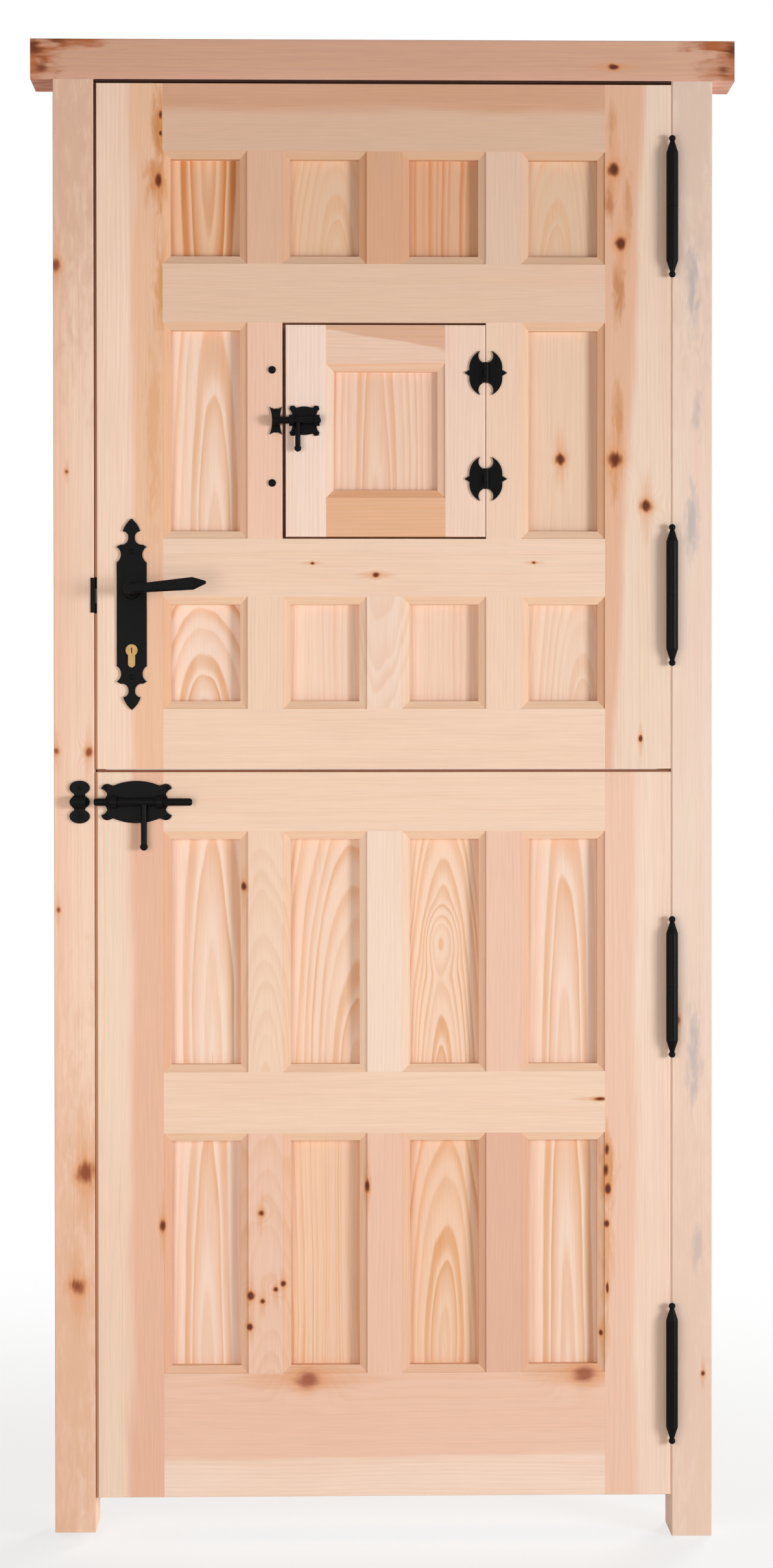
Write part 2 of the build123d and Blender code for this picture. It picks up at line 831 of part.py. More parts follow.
with BuildPart() as jamb_half:
    with BuildSketch(Plane.XZ):
        with BuildLine():
            barrel_outline(-1)
            Polyline(
                (0, -ball_z - finial_button_radius),
                (0, hinge_pin_reach),
                (hinge_pin_radius, hinge_pin_reach),
                (hinge_pin_radius, -barrel_end_gap / 2),
                (barrel_radius, -barrel_end_gap / 2),
            )
        make_face()
    revolve(axis=Axis.Z)
    beam(
        hinge_gap / 2, hinge_gap / 2 + flag_thickness, 0, barrel_stand_off + flag_width,
        flag_end_margin - barrel_length / 2, -flag_end_margin,
    )

with BuildPart() as leaf_half:
    with BuildSketch(Plane.XZ):
        with BuildLine():
            barrel_outline(1)
            Polyline(
                (0, ball_z + finial_button_radius),
                (0, hinge_pin_reach + overrun),
                (hinge_pin_radius + hinge_pin_play, hinge_pin_reach + overrun),
                (hinge_pin_radius + hinge_pin_play, barrel_end_gap / 2),
                (barrel_radius, barrel_end_gap / 2),
            )
        make_face()
    revolve(axis=Axis.Z)
    beam(
        -hinge_gap / 2 - flag_thickness, -hinge_gap / 2, 0, barrel_stand_off + flag_width,
        flag_end_margin, barrel_length / 2 - flag_end_margin,
    )
    # The flag stops at the wall of the bore
    Cylinder(
        hinge_pin_radius + hinge_pin_play, hinge_pin_reach + overrun,
        align=(Align.CENTER, Align.CENTER, Align.MIN), mode=Mode.SUBTRACT,
    )


def hinge_set(half, places):
    """One half of a hinge at each of its heights."""
    with BuildPart() as halves:
        with Locations([(hinge_x, hinge_y, place) for place in places]):
            add(half)
    return halves.part


keep("jamb_hinge_halves", hinge_set(jamb_half.part, upper_hinge_places + lower_hinge_places))
keep("upper_hinge_halves", hinge_set(leaf_half.part, upper_hinge_places))
keep("lower_hinge_halves", hinge_set(leaf_half.part, lower_hinge_places))

# Lock case, open towards its faceplate
with BuildPart() as lock_case:
    beam(case_front, case_back, -case_thickness / 2, case_thickness / 2, case_bottom, case_top)
    beam(
        case_front - overrun, case_back - case_wall,
        case_wall - case_thickness / 2, case_thickness / 2 - case_wall,
        case_bottom + case_wall, case_top - case_wall, mode=Mode.SUBTRACT,
    )
    with BuildSketch(facing(0, lever_x, lever_z)):
        Circle(follower_boss_radius + follower_play)
    extrude(amount=case_thickness, both=True, mode=Mode.SUBTRACT)
    with BuildSketch(facing(0, lever_x, cylinder_z)):
        cylinder_outline(cylinder_play)
    extrude(amount=case_thickness, both=True, mode=Mode.SUBTRACT)
keep("lock_case", lock_case.part)

with BuildPart() as lock_faceplate:
    with BuildSketch(Plane.YZ.offset(leaf_left)):
        with Locations((0, case_middle_z)):
            SlotOverall(faceplate_length, faceplate_width, rotation=90)
        for z, height, reach in strike_holes:
            with Locations((0, z)):
                Rectangle(2 * (bolt_half + bolt_play), height + 2 * bolt_play, mode=Mode.SUBTRACT)
    extrude(amount=faceplate_thickness)
keep("lock_faceplate", lock_faceplate.part)

# Latch bolt: bevelled nose, tail, and a strap over the follower to the lug that its finger pulls
latch_tip = leaf_left - latch_reach
latch_end = case_front + latch_tail
strap_bottom = lever_z + finger_reach + bolt_play
strap_top = strap_bottom + latch_strap_height
lug_left = lever_x + finger_width / 2 + finger_lash
with BuildPart() as latch_bolt:
    with BuildSketch(Plane.XY.offset(latch_z - latch_height / 2)):
        with BuildLine():
            Polyline(
                (latch_end, -bolt_half), (latch_tip, -bolt_half), (latch_tip, latch_nose - bolt_half),
                (leaf_left, bolt_half), (latch_end, bolt_half), close=True,
            )
        make_face()
    extrude(amount=latch_height)
    beam(latch_end - latch_strap_height, latch_end, -bolt_half, bolt_half, latch_z, strap_top)
    beam(
        latch_end - latch_strap_height, lug_left + finger_width, -bolt_half, bolt_half,
        strap_bottom, strap_top,
    )
    beam(
        lug_left, lug_left + finger_width, -bolt_half, bolt_half,
        lever_z + finger_reach - finger_overlap, strap_top,
    )
keep("latch_bolt", latch_bolt.part)

with BuildPart() as dead_bolt:
    beam(
        leaf_left, leaf_left + dead_bolt_length, -bolt_half, bolt_half,
        dead_bolt_z - dead_bolt_height / 2, dead_bolt_z + dead_bolt_height / 2,
    )
    fillet(dead_bolt.edges().filter_by(Axis.Z).group_by(Axis.X)[0], bolt_play)
keep("dead_bolt", dead_bolt.part)

# Follower, turned by the spindle
with BuildPart() as follower:
    with BuildSketch(facing(0, lever_x, lever_z)):
        Circle(follower_radius)
        with Locations((0, finger_reach / 2)):
            Rectangle(finger_width, finger_reach)
    extrude(amount=bolt_half, both=True)
    with BuildSketch(facing(0, lever_x, lever_z)):
        Circle(follower_boss_radius)
    extrude(amount=case_thickness / 2, both=True)
    with BuildSketch(facing(0, lever_x, lever_z)):
        Rectangle(spindle_size + 2 * spindle_play, spindle_size + 2 * spindle_play)
    extrude(amount=case_thickness, both=True, mode=Mode.SUBTRACT)
keep("follower", follower.part)

with BuildPart() as spindle:
    with BuildSketch(facing(0, lever_x, lever_z)):
        Rectangle(spindle_size, spindle_size)
    extrude(amount=back + lever_socket - overrun, both=True)
keep("spindle", spindle.part)

# Cylinder with its plug and cam
with BuildPart() as lock_cylinder:
    with BuildSketch(facing(0, lever_x, cylinder_z)):
        cylinder_outline(0)
        Circle(plug_radius, mode=Mode.SUBTRACT)
    extrude(amount=cylinder_half, both=True)
    beam(
        lever_x - cylinder_radius - overrun, lever_x + cylinder_radius + overrun,
        -cam_slot / 2, cam_slot / 2,
        cylinder_z - cam_reach - cam_room, cylinder_z + cylinder_radius + overrun, mode=Mode.SUBTRACT,
    )
keep("lock_cylinder", lock_cylinder.part)

with BuildPart() as cylinder_plug:
    with BuildSketch(facing(0, lever_x, cylinder_z)):
        Circle(plug_radius - plug_play)
    extrude(amount=cylinder_half, both=True)
    with BuildSketch(facing(0, lever_x, cylinder_z)):
        Circle(cam_ring_radius)
        with Locations((0, -cam_reach / 2)):
            Rectangle(cam_finger, cam_reach)
    extrude(amount=cam_width / 2, both=True)
    for end in (-cylinder_half, cylinder_half - keyway_depth):
        beam(
            lever_x - keyway_width / 2, lever_x + keyway_width / 2, end, end + keyway_depth,
            cylinder_z - keyway_height / 2, cylinder_z + keyway_height / 2, mode=Mode.SUBTRACT,
        )
keep("cylinder_plug", cylinder_plug.part)

# Long plates with spade ends; the shares are of half the width and half the length
spade_shares = ((0, 1), (0.34, 0.945), (0.58, 0.868))
spade_neck_shares = ((0.58, 0.868), (0.30, 0.845), (0.22, 0.795))
wing_top_shares = ((0.22, 0.795), (0.36, 0.745), (0.74, 0.728))
wing_tip_share = (1, 0.704)
waist_shares = ((1, 0.704), (0.72, 0.61), (1, 0.542))


def scaled(shares, half_width, half_height):
    """Points of an outline from their shares of its half width and half height."""
    return [(x * half_width, y * half_height) for x, y in shares]


with BuildPart() as inner_plate:
    half_plate = (plate_width / 2, plate_length / 2)
    with BuildSketch(facing(front, lever_x, plate_z)):
        with BuildLine():
            ThreePointArc(*scaled(spade_shares, *half_plate))
            ThreePointArc(*scaled(spade_neck_shares, *half_plate))
            ThreePointArc(*scaled(wing_top_shares, *half_plate))
            Line(*scaled((wing_top_shares[-1], wing_tip_share), *half_plate))
            ThreePointArc(*scaled(waist_shares, *half_plate))
            Line(*scaled((waist_shares[-1], (1, 0)), *half_plate))
            mirror(about=Plane.XZ)
            mirror(about=Plane.YZ)
        make_face()
    extrude(amount=plate_thickness)
    chamfer(inner_plate.faces().sort_by(Axis.Y)[0].edges().filter_by(Axis.Z), plate_edge)
    with BuildSketch(facing(front, lever_x, lever_z)):
        Circle(lever_neck_radius + lever_play)
    extrude(amount=plate_thickness, mode=Mode.SUBTRACT)
    with BuildSketch(facing(front, lever_x, cylinder_z)):
        cylinder_outline(cylinder_play)
    extrude(amount=plate_thickness, mode=Mode.SUBTRACT)
keep("inner_plate", inner_plate.part)

with BuildPart() as outer_plate:
    add(inner_plate.part)
    mirror(about=Plane.XZ, mode=Mode.REPLACE)
keep("outer_plate", outer_plate.part)

# Levers: a round neck and a faceted arm that widens and ends in a point
arm_sections = (
    (0, lever_root_depth, lever_root_height, lever_facet),
    (lever_wide_share, lever_wide_depth, lever_wide_height, lever_facet),
    (1, lever_tip_size, lever_tip_size, lever_tip_facet),
)
with BuildPart() as inner_lever:
    with BuildSketch(facing(front, lever_x, lever_z)):
        Circle(lever_neck_radius)
    extrude(amount=lever_reach + lever_root_depth / 2)
    fillet(inner_lever.faces().sort_by(Axis.Y)[0].edges(), lever_facet)
    with BuildSketch(facing(front - plate_thickness - lever_play, lever_x, lever_z)):
        Circle(lever_collar_radius)
    extrude(amount=lever_collar_height, taper=lever_collar_taper)
    run = Vector(cos(radians(lever_rise)), 0, sin(radians(lever_rise)))
    for share, depth, height, facet in arm_sections:
        middle = Vector(lever_x, front - lever_reach, lever_z) + run * (share * lever_length)
        with BuildSketch(Plane(origin=middle, x_dir=(0, -1, 0), z_dir=run)) as arm_section:
            Rectangle(depth, height)
            chamfer(arm_section.vertices(), facet)
    loft(ruled=True)
    with BuildSketch(facing(front, lever_x, lever_z)):
        Rectangle(spindle_size + 2 * spindle_play, spindle_size + 2 * spindle_play)
    extrude(amount=lever_socket, mode=Mode.SUBTRACT)
keep("inner_lever", inner_lever.part)

with BuildPart() as outer_lever:
    add(inner_lever.part)
    mirror(about=Plane.XZ, mode=Mode.REPLACE)
keep("outer_lever", outer_lever.part)


def guide_strap(x, width, y, z, bore, wall, seat):
    """A strap bent over a sliding bar, with both feet on the plate behind it."""
    outer = bore + wall
    with BuildPart() as strap:
        with BuildSketch(Plane.YZ.offset(x - width / 2)):
            with Locations((y, z)):
                Circle(outer)
            with Locations(((y + seat) / 2, z)):
                Rectangle(seat - y, 2 * outer)
            with Locations((y, z)):
                Circle(bore, mode=Mode.SUBTRACT)
            with Locations(((y + seat) / 2, z)):
                Rectangle(seat - y, 2 * bore, mode=Mode.SUBTRACT)
        extrude(amount=width)
    return strap.part


def sliding_bar(left, length, y, z, radius, end_round, handle_x, handle_radius, handle_length, ball_radius):
    """A round bar with a hanging handle that ends in a ball."""
    with BuildPart() as bar:
        with BuildSketch(Plane.YZ.offset(left)):
            with Locations((y, z)):
                Circle(radius)
        extrude(amount=length)
        fillet(bar.edges().filter_by(GeomType.CIRCLE), end_round)
        with BuildSketch(Plane.XY.offset(z)):
            with Locations((handle_x, y)):
                Circle(handle_radius)
        extrude(amount=-handle_length)
        with Locations((handle_x, y, z - handle_length)):
            Sphere(ball_radius)
    return bar.part


# Bolt of the lower leaf; the shares are of half the plate's width and height
plate_crown_shares = ((0, 1), (0.35, 0.94), (0.66, 0.77))
plate_ear_shares = ((0.66, 0.77), (0.78, 0.85))
plate_ear_round_shares = ((0.78, 0.85), (0.95, 0.78), (1, 0.62))
plate_side_shares = ((1, 0.62), (0.89, 0.52), (0.83, 0.36))
plate_point_shares = ((0.83, 0.36), (0.94, 0))
guide_seat = front - bolt_plate_thickness
with BuildPart() as bolt_plate:
    half_bolt_plate = (bolt_plate_width / 2, bolt_plate_height / 2)
    with BuildSketch(facing(front, bolt_plate_x, bolt_z)):
        with BuildLine():
            ThreePointArc(*scaled(plate_crown_shares, *half_bolt_plate))
            Line(*scaled(plate_ear_shares, *half_bolt_plate))
            ThreePointArc(*scaled(plate_ear_round_shares, *half_bolt_plate))
            ThreePointArc(*scaled(plate_side_shares, *half_bolt_plate))
            Line(*scaled(plate_point_shares, *half_bolt_plate))
            mirror(about=Plane.XZ)
            mirror(about=Plane.YZ)
        make_face()
    extrude(amount=bolt_plate_thickness)
    for side in (-1, 1):
        guide_x = bolt_plate_x + side * guide_spread / 2
        add(
            guide_strap(
                guide_x, guide_width, bolt_y, bolt_z, bolt_radius + guide_play, guide_wall, guide_seat,
            )
        )
keep("bolt_plate", bolt_plate.part)

lower_bolt = sliding_bar(
    bolt_right - bolt_length, bolt_length, bolt_y, bolt_z, bolt_radius, bolt_end_round,
    bolt_handle_x, bolt_handle_radius, bolt_handle_length, bolt_ball_radius,
)
keep("lower_bolt", lower_bolt)

# Keeper on the jamb: three rounded lobes with a strap across the middle one
lobe_pitch = (keeper_height - keeper_lobe_height) / 2
with BuildPart() as bolt_keeper:
    with BuildSketch(facing(front, keeper_x, bolt_z)):
        with Locations((0, -lobe_pitch), (0, 0), (0, lobe_pitch)):
            Ellipse(keeper_width / 2, keeper_lobe_height / 2)
        Rectangle(keeper_neck_width, 2 * lobe_pitch)
    extrude(amount=bolt_plate_thickness)
    add(guide_strap(keeper_x, keeper_strap, bolt_y, bolt_z, bolt_radius + guide_play, guide_wall, guide_seat))
keep("bolt_keeper", bolt_keeper.part)

# Hatch
hatch_left = hatch_way.left + hatch_strike_gap
hatch_right = hatch_way.right - hatch_hinge_gap
hatch_bottom = hatch_way.bottom + hatch_end_gap
hatch_top = hatch_way.top - hatch_end_gap
pane = Opening(
    hatch_left + hatch_stile_width, hatch_right - hatch_stile_width,
    hatch_bottom + hatch_rail_height, hatch_top - hatch_rail_height,
)
hatch_rails = ((hatch_bottom, pane.bottom), (pane.top, hatch_top))
hatch_tenons = [rail_tenons(*rail, pane.left, pane.right) for rail in hatch_rails]
hatch_ends = ("bottom", "top")
keep(
    "hatch_lock_stile",
    wood_member(
        Opening(hatch_left, pane.left, hatch_bottom, hatch_top), [(pane, "left")],
        mortises=[pair[0] for pair in hatch_tenons], rounded=("left",) + hatch_ends, section=hatch_section,
    ),
)
keep(
    "hatch_hinge_stile",
    wood_member(
        Opening(pane.right, hatch_right, hatch_bottom, hatch_top), [(pane, "right")],
        mortises=[pair[1] for pair in hatch_tenons], rounded=("right",) + hatch_ends, section=hatch_section,
    ),
)
for side, rail, tenons in zip(hatch_ends, hatch_rails, hatch_tenons):
    outline = Opening(pane.left, pane.right, *rail)
    keep(
        f"hatch_{side}_rail",
        wood_member(outline, [(pane, side)], tenons, rounded=(side,), section=hatch_section),
    )
keep("hatch_panel", panel_board(pane, hatch_section, hatch_panel_thickness))

# Hatch hinges with crescent plates; the shares are of half the width and half the height
bite_shares = ((0, 0.44), (0.33, 0.67), (0.27, 1))
crescent_shares = ((0.27, 1), (0.68, 0.62), (0.77, 0.14))
crescent_point_shares = ((0.77, 0.14), (1, 0))
knuckle_half = hatch_knuckle_length / 2
middle_half = hatch_knuckle_length * middle_knuckle_share / 2
knuckle_room = hatch_knuckle_radius + hatch_knuckle_gap
half_crescent = (hatch_hinge_width / 2, hatch_hinge_height / 2)
plate_rear = hatch_knuckle_stand_off
plate_front = hatch_knuckle_stand_off - hatch_hinge_plate


def crescent_plate(side):
    """Half of a hinge plate beside its axis; side is 1 towards the door's hinges, or -1."""
    with BuildPart() as plate:
        with BuildSketch(facing(plate_rear)):
            with BuildLine():
                ThreePointArc(*scaled(bite_shares, side * half_crescent[0], half_crescent[1]))
                ThreePointArc(*scaled(crescent_shares, side * half_crescent[0], half_crescent[1]))
                Line(*scaled(crescent_point_shares, side * half_crescent[0], half_crescent[1]))
                mirror(about=Plane.XZ)
                Line((0, bite_shares[0][1] * half_crescent[1]), (0, -bite_shares[0][1] * half_crescent[1]))
            make_face()
        extrude(amount=hatch_hinge_plate)
    return plate.part


with BuildPart() as hatch_fixed_half:
    add(crescent_plate(1))
    beam(
        0, knuckle_room, plate_front, plate_rear,
        -middle_half - hatch_knuckle_gap, middle_half + hatch_knuckle_gap, mode=Mode.SUBTRACT,
    )
    for low, high in ((-knuckle_half, -middle_half), (middle_half, knuckle_half)):
        with Locations((0, 0, (low + high) / 2)):
            Cylinder(hatch_knuckle_radius, high - low)
    Cylinder(hatch_pin_radius, hatch_knuckle_length)

with BuildPart() as hatch_moving_half:
    add(crescent_plate(-1))
    for side in (-1, 1):
        with Locations((-knuckle_room / 2, (plate_front + plate_rear) / 2, side * knuckle_half)):
            Box(
                knuckle_room, hatch_hinge_plate, 2 * (knuckle_half - middle_half + hatch_knuckle_gap),
                mode=Mode.SUBTRACT,
            )
    Cylinder(hatch_knuckle_radius, 2 * (middle_half - hatch_knuckle_gap))
    Cylinder(hatch_pin_radius + hinge_pin_play, hatch_knuckle_length, mode=Mode.SUBTRACT)

hatch_hinge_x = (hatch_right + hatch_way.right) / 2
hatch_hinge_y = front - hatch_knuckle_stand_off
hatch_hinge_places = (hatch_way.bottom + hatch_hinge_from_bottom, hatch_way.top - hatch_hinge_from_top)


def hatch_hinge_set(half):
    """One half of a hatch hinge at both heights."""
    with BuildPart() as halves:
        with Locations([(hatch_hinge_x, hatch_hinge_y, place) for place in hatch_hinge_places]):
            add(half)
    return halves.part


keep("hatch_hinge_fixed_halves", hatch_hinge_set(hatch_fixed_half.part))
keep("hatch_hinge_moving_halves", hatch_hinge_set(hatch_moving_half.part))

# Hatch bolt, shot into its keeper
hatch_plate_x = hatch_left + hatch_plate_from_edge
hatch_bolt_z = hatch_way.bottom + hatch_bolt_rise
hatch_seat = front - hatch_plate_thickness
hatch_bolt_y = hatch_seat - hatch_bolt_clearance - hatch_bolt_radius
ear_top_shares = ((0, 0.94), (0.26, 0.91), (0.48, 0.84))
ear_shares = ((0.48, 0.84), (0.62, 1), (0.84, 0.97), (0.90, 0.76))
ear_side_shares = ((0.90, 0.76), (0.76, 0.56), (0.74, 0.28))
ear_point_shares = ((0.74, 0.28), (1, 0))
with BuildPart() as hatch_bolt_plate:
    half_ear_plate = (hatch_plate_width / 2, hatch_plate_height / 2)
    with BuildSketch(facing(front, hatch_plate_x, hatch_bolt_z)):
        with BuildLine():
            ThreePointArc(*scaled(ear_top_shares, *half_ear_plate))
            Polyline(*scaled(ear_shares, *half_ear_plate))
            ThreePointArc(*scaled(ear_side_shares, *half_ear_plate))
            Line(*scaled(ear_point_shares, *half_ear_plate))
            mirror(about=Plane.XZ)
            mirror(about=Plane.YZ)
        make_face()
    extrude(amount=hatch_plate_thickness)
    for side in (-1, 1):
        add(
            guide_strap(
                hatch_plate_x + side * hatch_guide_spread / 2, hatch_guide_width, hatch_bolt_y, hatch_bolt_z,
                hatch_bolt_radius + guide_play, hatch_guide_wall, hatch_seat,
            )
        )
keep("hatch_bolt_plate", hatch_bolt_plate.part)

hatch_bolt = sliding_bar(
    hatch_way.left - hatch_bolt_tip, hatch_bolt_length, hatch_bolt_y, hatch_bolt_z, hatch_bolt_radius,
    bolt_end_round, hatch_plate_x - hatch_handle_offset, hatch_handle_radius, hatch_handle_length,
    hatch_ball_radius,
)
keep("hatch_bolt", hatch_bolt)

keeper_top_shares = ((0, 0.84), (0.5, 0.87), (1, 1))
keeper_side_shares = ((1, 1), (0.72, 0.55), (0.62, 0))
hatch_keeper_x = hatch_way.left - hatch_keeper_from_edge
with BuildPart() as hatch_keeper:
    half_keeper = (hatch_keeper_width / 2, hatch_keeper_height / 2)
    with BuildSketch(facing(front, hatch_keeper_x, hatch_bolt_z)):
        with BuildLine():
            ThreePointArc(*scaled(keeper_top_shares, *half_keeper))
            ThreePointArc(*scaled(keeper_side_shares, *half_keeper))
            mirror(about=Plane.XZ)
            mirror(about=Plane.YZ)
        make_face()
    extrude(amount=hatch_plate_thickness)
    add(
        guide_strap(
            hatch_keeper_x, hatch_keeper_strap, hatch_bolt_y, hatch_bolt_z,
            hatch_bolt_radius + guide_play, hatch_guide_wall, hatch_seat,
        )
    )
keep("hatch_keeper", hatch_keeper.part)

# Grille outside the hatch: two flat bars across pointed rods
rod_bottom = hatch_way.bottom - grille_rod_overhang
rod_top = hatch_way.top + grille_rod_overhang
rod_pitch = (hatch_way.right - hatch_way.left) / (grille_rod_count + 1)
grille_left = grille_bolt_x[0] - grille_bar_overhang
grille_right = grille_bolt_x[1] + grille_bar_overhang
with BuildPart() as grille:
    for z in grille_bolt_z:
        beam(
            grille_left, grille_right, back, back + grille_bar_thickness,
            z - grille_bar_width / 2, z + grille_bar_width / 2,
        )
    with BuildSketch(facing(back)):
        for i in range(grille_rod_count):
            rod_x = hatch_way.left + (i + 1) * rod_pitch
            Polygon(
                (rod_x - grille_rod_size / 2, rod_bottom + grille_spear),
                (rod_x, rod_bottom),
                (rod_x + grille_rod_size / 2, rod_bottom + grille_spear),
                (rod_x + grille_rod_size / 2, rod_top - grille_spear),
                (rod_x, rod_top),
                (rod_x - grille_rod_size / 2, rod_top - grille_spear),
                align=None,
            )
    extrude(amount=-grille_rod_size)
    with BuildSketch(facing(back)):
        with Locations([(x, z) for x in grille_bolt_x for z in grille_bolt_z]):
            Circle(grille_bolt_radius + grille_bolt_play)
    extrude(amount=-grille_bar_thickness, mode=Mode.SUBTRACT)
keep("grille", grille.part)

# Bolts of the grille; those under the hinge plates have no dome
bolt_end = back + grille_bar_thickness + grille_nut_height
with BuildPart() as grille_bolts:
    for x in grille_bolt_x:
        with BuildSketch(facing(bolt_end)):
            with Locations([(x, z) for z in grille_bolt_z]):
                Circle(grille_bolt_radius)
        extrude(amount=bolt_end - front)
        with BuildSketch(facing(bolt_end)):
            with Locations([(x, z) for z in grille_bolt_z]):
                RegularPolygon(grille_nut_radius, 6)
        extrude(amount=grille_nut_height)
    with BuildSketch(facing(front)):
        with Locations([(grille_bolt_x[0], z) for z in grille_bolt_z]):
            Circle(grille_bolt_head_radius)
    extrude(amount=grille_bolt_head_height)
    fillet(grille_bolts.faces().sort_by(Axis.Y)[:2].edges(), grille_bolt_head_height * dome_share)
keep("grille_bolts", grille_bolts.part)
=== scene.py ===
"""Looks, light and camera for a two-part pine front door in its frame."""

from collections import namedtuple

import bmesh
import bpy
import numpy as np
from mathutils import Matrix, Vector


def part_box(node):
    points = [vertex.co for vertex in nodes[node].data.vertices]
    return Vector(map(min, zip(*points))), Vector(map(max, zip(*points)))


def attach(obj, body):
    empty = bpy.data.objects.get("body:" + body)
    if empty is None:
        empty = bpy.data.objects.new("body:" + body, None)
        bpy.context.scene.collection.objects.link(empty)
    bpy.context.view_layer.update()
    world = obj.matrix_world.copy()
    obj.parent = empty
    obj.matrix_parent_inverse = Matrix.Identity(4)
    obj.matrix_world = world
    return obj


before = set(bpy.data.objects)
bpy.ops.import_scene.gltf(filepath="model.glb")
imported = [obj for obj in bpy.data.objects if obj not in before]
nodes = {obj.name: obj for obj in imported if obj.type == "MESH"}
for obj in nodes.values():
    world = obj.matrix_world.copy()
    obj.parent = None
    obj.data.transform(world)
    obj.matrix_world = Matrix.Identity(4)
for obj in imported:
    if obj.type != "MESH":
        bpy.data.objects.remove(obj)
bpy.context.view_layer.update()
MM = 0.001


def linear(code):
    """A hex sRGB colour as linear light with full alpha: a straight line near black, then a power curve."""
    channels = [int(code[i : i + 2], 16) / 255 for i in (0, 2, 4)]
    return tuple(c / 12.92 if c <= 0.04045 else ((c + 0.055) / 1.055) ** 2.4 for c in channels) + (1.0,)


def add(tree, kind, inputs=(), **settings):
    """Adds a node with its settings, and links or fills its inputs."""
    node = tree.nodes.new(kind)
    for setting, value in settings.items():
        setattr(node, setting, value)
    for socket, source in dict(inputs).items():
        if isinstance(source, bpy.types.NodeSocket):
            tree.links.new(source, node.inputs[socket])
        else:
            node.inputs[socket].default_value = source
    return node


def new_material(name, **sockets):
    """A material whose shader has these constant values on its own sockets."""
    material = bpy.data.materials.new(name)
    material.use_nodes = True
    shader = material.node_tree.nodes["Principled BSDF"]
    for socket, value in sockets.items():
        shader.inputs[socket.replace("_", " ")].default_value = value
    return material, material.node_tree, shader


# Sawn and sanded pine, left bare: pale sapwood, pinker heartwood, orange lines of late wood, brown knots.
PALE, CREAM = "F3D8C4", "F0CFB6"
BLUSH, ROSE, HONEY = "ECC3AB", "E7B79D", "E5B28D"
LATE_SOFT, LATE, LATE_STRONG = "E2B08A", "DE9F6B", "D0844B"
KNOT_MIDDLE, KNOT_RIM, KNOT_HALO = "52220D", "A05226", "DB9560"
# Blue stain, and the darkening of cut mouldings and edges: partly their own tone, partly painted shade
BLUE_STAIN, CUT_AND_RECESS_SHADE = "A9A0A6", "F8F0E6"

# One board: where the pith of its tree lies across and behind the face, how fast it runs away from the
# face along the board and from which point, the width of a year ring, how strongly the figure shows, and
# the tones of its early and late wood.
Board = namedtuple("Board", "pith depth tilt apex ring figure sap late")
# A stretch of heartwood beyond an edge that wavers: which way it lies, its tone, and how the edge slopes.
Heart = namedtuple("Heart", "edge side soft tone slope", defaults=(0.0,))
# A knot, or an eye in the figure, which only bends the rings: place across and along the board, radius in
# millimetres and stretch along the grain.
Knot = namedtuple("Knot", "across along radius stretch")
# A stain or a patch of burr: place, radius and stretch as for a knot, its tone and how strongly that shows.
Stain = namedtuple("Stain", "across along radius stretch tone share")


def straight(middle, sap, late=LATE_SOFT, figure=0.35, ring=4.5, side=1):
    """A board sawn away from the pith, so that its rings show as almost straight lines."""
    return Board(
        pith=middle + side * 110 * MM, depth=60 * MM, tilt=0.006, apex=0.0,
        ring=ring * MM, figure=figure, sap=sap, late=late,
    )


def arched(middle, sap, apex, depth=45, tilt=0.09, ring=4.5, figure=0.75, late=LATE):
    """A board sawn across the pith's side, so that its rings show as nested arches."""
    return Board(middle, depth * MM, tilt, apex, ring * MM, figure, sap, late)


def flame(middle, sap, foot, slope, ring, figure, late=LATE):
    """A board sawn through the pith at one height, so that its rings are tall ovals round that place."""
    return Board(
        pith=middle, depth=-7 * MM, tilt=slope, apex=foot,
        ring=ring * MM, figure=figure, sap=sap, late=late,
    )


def choose(tree, x, edges, rows):
    """Three values for each of several boards side by side: the x of a point picks its board's own."""
    if len(rows) == 1:
        return rows[0]
    low, span = -0.6, 1.2
    share = add(tree, "ShaderNodeMapRange", {"Value": x, "From Min": low, "From Max": low + span})
    ramp = add(tree, "ShaderNodeValToRGB", {"Fac": share.outputs["Result"]})
    ramp.color_ramp.interpolation = "CONSTANT"
    stops = ramp.color_ramp.elements
    stops.remove(stops[1])
    for edge in edges:
        stops.new((edge - low) / span)
    for stop, row in zip(stops, rows):
        stop.color = tuple(row[:3]) + (1.0,)
    parts = add(tree, "ShaderNodeSeparateColor", {"Color": ramp.outputs["Color"]})
    return [parts.outputs[i] for i in range(3)]


